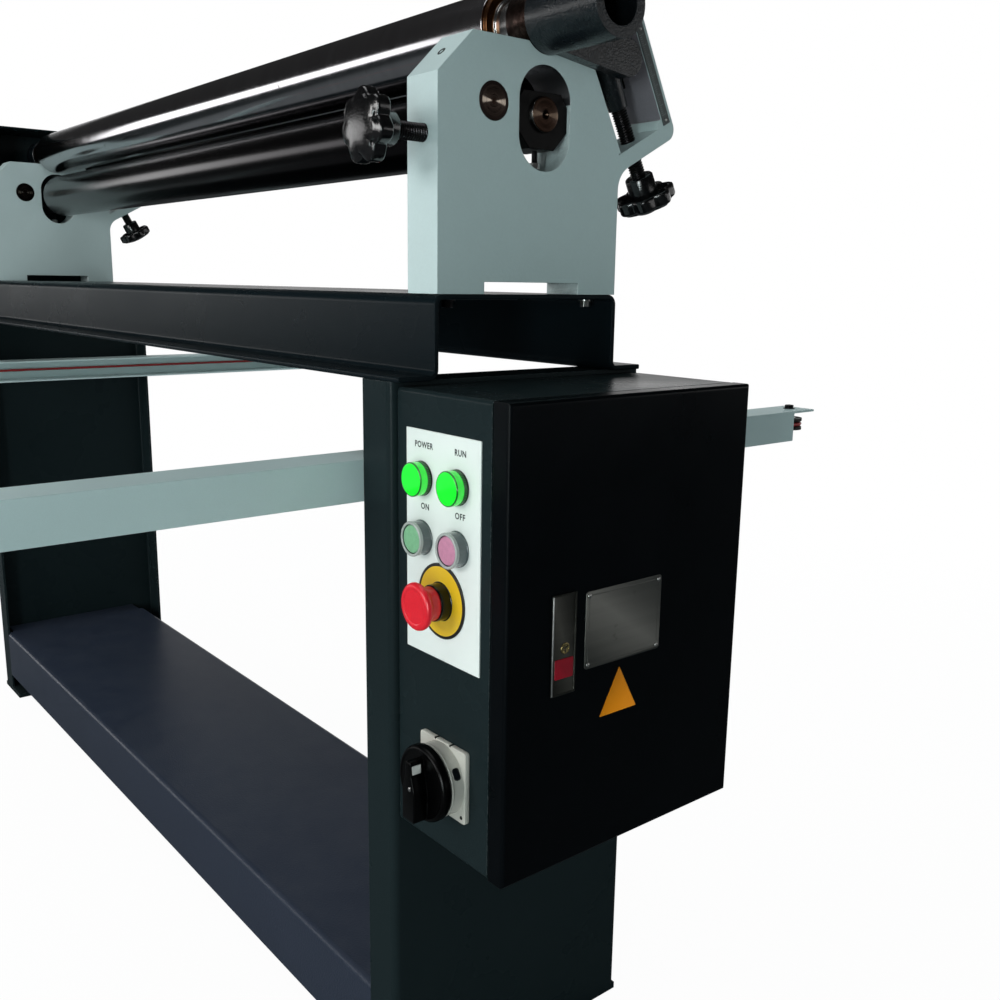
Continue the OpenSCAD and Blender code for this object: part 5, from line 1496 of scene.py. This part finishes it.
def makeSwitch():
    v = switchValues
    place = facingFront(v["x"], v["wall"], v["z"])
    outline, top = notchedPlate(v["side"], v["notch"], v["notchDepth"]), v["collar"]
    plate = plateMesh("plate", outline, 0, v["plate"], place, 0.6, 3)
    profile = [(0, 1, 0), (33.2, 1, 0), (33.2, v["plate"], 0), (32.9, top - 2.4, 0), (34.0, top - 1.9, 0),
               (34.0, top, 0), (7.2, top, 0), (7.2, 3, 0), (0, 3, 0)]
    collar = turnedMesh("collar", profile, place, 0.5, 96)
    stem = turnedMesh("stem", [(0, -44, 0), (10.3, -44, 0), (10.3, 2, 0), (0, 2, 0)], place, 0.5, 32)
    parts = [(plate, ["plateBeige"]), (collar, ["plateBeige"]), (stem, ["plateBeige"])]
    # Oval locking slot on the collar's right side: a flush dark patch, painted shade where the slot's opening
    # is
    turn = Matrix.Rotation(math.radians(28), 4, "Z")
    slotPlace = place @ turn @ frameAt((32.6, 0, 11), (0, 1, 0), (0, 0, 1))
    parts.append((plateMesh("lockSlot", roundedRect(11, 7, 2.8), -1.0, 0.75, slotPlace, 0), ["boreBlack"]))
    corner = [((v["x"] + v["corner"], v["wall"] - v["plate"], v["z"] - v["corner"]), (0, -1, 0))]
    screw = growMesh(boltTree, {**cornerMark, "Finish": finishes["screwSteel"]}, corner)
    parts.append((screw, ["screwSteel"]))
    for x in (-v["notch"], v["notch"]):  # dark sockets behind the two notches
        socket = place @ shift(x, v["side"] / 2 - 1.2)
        parts.append((plateMesh("socket", roundedRect(3.4, 2.2, 0.3, 3), 0.3, v["plate"] - 0.5, socket, 0),
                      ["socketBlack"]))
    joinedPiece("switchPlate", parts, "root", ("switch_base",))

    back = v["collar"] + 1.2
    disc = turnedMesh("disc", [(0, 8, 0), (6.9, 8, 0), (6.9, back, 0), (34.2, back, 0), (35.0, back + 1, 0),
                               (35.0, v["disc"] - 3.2, 0), (34.2, v["disc"] - 1.6, 0),
                               (32.9, v["disc"] - 0.4, 0),
                               (31.4, v["disc"], 0), (29.8, v["disc"] - 0.9, 0), (0, v["disc"] - 1.1, 0)],
                      place, 0.5, 96)
    half, waist, tip = v["gripHalf"]
    outline = [(-half, -31), (half, -31), (half, -2), (waist, 13), (tip, 25.5), (-tip, 25.5), (-waist, 13),
               (-half, -2)]
    grip = plateMesh("grip", softCorners(outline, 2.4), v["disc"] - 2, v["grip"], place, 1.4, 3)
    markPlace = place @ frameAt(((waist + tip) / 2 + 0.15, 17.6, v["grip"] - 6.4), (0, 1, 0), (0, 0, 1))
    mark = plateMesh("mark", roundedRect(8.4, 9.2, 0.6), -0.6, 0.25, markPlace, 0.1)
    pinPlace = place @ shift(2.4)
    pin = turnedMesh("pin", [(0, v["grip"] - 1, 0), (2.0, v["grip"] - 1, 0), (2.0, v["grip"] + 0.1, 0),
                             (1.1, v["grip"] + 0.5, 0), (0, v["grip"] + 0.6, 0)], pinPlace, 0.2, 20)
    parts = [(disc, ["switchBlack"]), (grip, ["switchBlack"]), (mark, ["markWhite"]), (pin, ["boltSteel"])]
    joinedPiece("switchKnob", parts, bodyOf["switch_handle"], ("switch_handle",))


# Trip rope round its four pulleys

ropeValues = {
    "x": 667, "y": 537, "z": 662, "bend": 15.5, "radius": 2.5, "strand": 0.3, "strands": 3, "step": 5,
    "lay": 32, "around": 12, "arcSteps": 8,
}
pulleyBolt = boltValues(6, 6.4, 3.6, 0.3, 7.6, 1.0)


def ropeSpots():  # rounded rectangle round the pulleys, in even steps
    v = ropeValues
    arcs = []
    for x, y, start in ((1, 1, 0), (-1, 1, 90), (-1, -1, 180), (1, -1, 270)):
        angles = [math.radians(start + 90 * k / v["arcSteps"]) for k in range(v["arcSteps"] + 1)]
        arcs.append([(x * v["x"] + v["bend"] * math.cos(a),
                      y * v["y"] + v["bend"] * math.sin(a)) for a in angles])
    path = []
    for i, arc in enumerate(arcs):
        path += arc
        first = arcs[(i + 1) % 4][0]
        gap = math.dist(arc[-1], first)
        count = int(gap / v["step"])
        for k in range(1, count):
            t = k / count
            path.append((arc[-1][0] + (first[0] - arc[-1][0]) * t, arc[-1][1] + (first[1] - arc[-1][1]) * t))
    return path


def makeRope():
    v = ropeValues
    path = ropeSpots()
    lengths = [0.0]
    for k in range(len(path)):
        lengths.append(lengths[-1] + math.dist(path[k], path[(k + 1) % len(path)]))
    turns = round(lengths[-1] / v["lay"])
    work = bmesh.new()
    rings = []
    for k, (x, y) in enumerate(path):
        before, after = Vector(path[k - 1]), Vector(path[(k + 1) % len(path)])
        along = (after - before).normalized()
        out = Vector((along.y, -along.x, 0))
        phase = 2 * math.pi * turns * lengths[k] / lengths[-1] / v["strands"]
        ring = []
        for n in range(v["around"]):
            a = 2 * math.pi * n / v["around"]
            r = v["radius"] - v["strand"] * (0.5 + 0.5 * math.cos(v["strands"] * (a + phase)))
            spot = Vector((x, y, v["z"])) + out * r * math.cos(a) + Vector((0, 0, r * math.sin(a)))
            ring.append(work.verts.new(spot * mm))
        rings.append(ring)
    for k in range(len(rings)):
        one, two = rings[k], rings[(k + 1) % len(rings)]
        for n in range(v["around"]):
            m = (n + 1) % v["around"]
            work.faces.new((one[n], one[m], two[m], two[n]))
    bmesh.ops.recalc_face_normals(work, faces=work.faces)
    mesh = meshFrom(work, "tripRope")
    finishMesh(mesh, ["ropeRed"], 80)
    addPiece("tripRope", mesh, "root", ("trip_rope_sides", "trip_rope_ends"))


def makePulleys():
    v = ropeValues
    parts, spots = [], []
    profile = [(0, -12, 1), (4, -12, 1), (4, -8, 1), (9.5, -8, 0), (9.5, -7, 0), (14, -7, 0), (17.9, -8, 0),
               (17.9, -4.2, 0), (16.2, -2.6, 0), (13.2, -1.4, 0), (12.7, 0, 0), (13.2, 1.4, 0),
               (16.2, 2.6, 0), (17.9, 4.2, 0), (17.9, 8, 0), (14, 7, 0), (9.5, 7, 0), (9.5, 8, 0),
               (4, 8, 1), (4, 17.2, 1), (0, 17.2, 1)]
    for sx in (-1, 1):
        for sy in (-1, 1):
            place = frameAt((sx * v["x"], sy * v["y"], v["z"]), (1, 0, 0), (0, 1, 0))
            parts.append((turnedMesh("pulley", profile, place, 0.3, 40), ["pulleyBlack", "boltSteel"]))
            spots.append(((sx * v["x"], sy * v["y"], v["z"] - 8.2), (0, 0, -1)))
            spots.append(((sx * v["x"], sy * v["y"], v["z"] + 20), (0, 0, 1)))
    joinedPiece("tripPulleyWheels", parts, "root", ("trip_pulleys",))
    grownPiece("pulleyBolts", boltTree, pulleyBolt, spots, "screwSteel", "root")


makeStand()
print("stand made")
makeFrames()
makeStopScrews()
makeScales()
print("end frames made")
makeRolls()
makeHousings()
print("rolls and housings made")
makeAdjusters()
print("adjusters made")
makeDriveEnd()
makeCabinet()
makeDoorPlates()
makeLatch()
print("cabinet and drive end made")
makePanel()
makeSignalLamps()
makeButtons()
makeStopButton()
makeSwitch()
print("controls made")
makeRope()
makePulleys()
print("trip rope made")
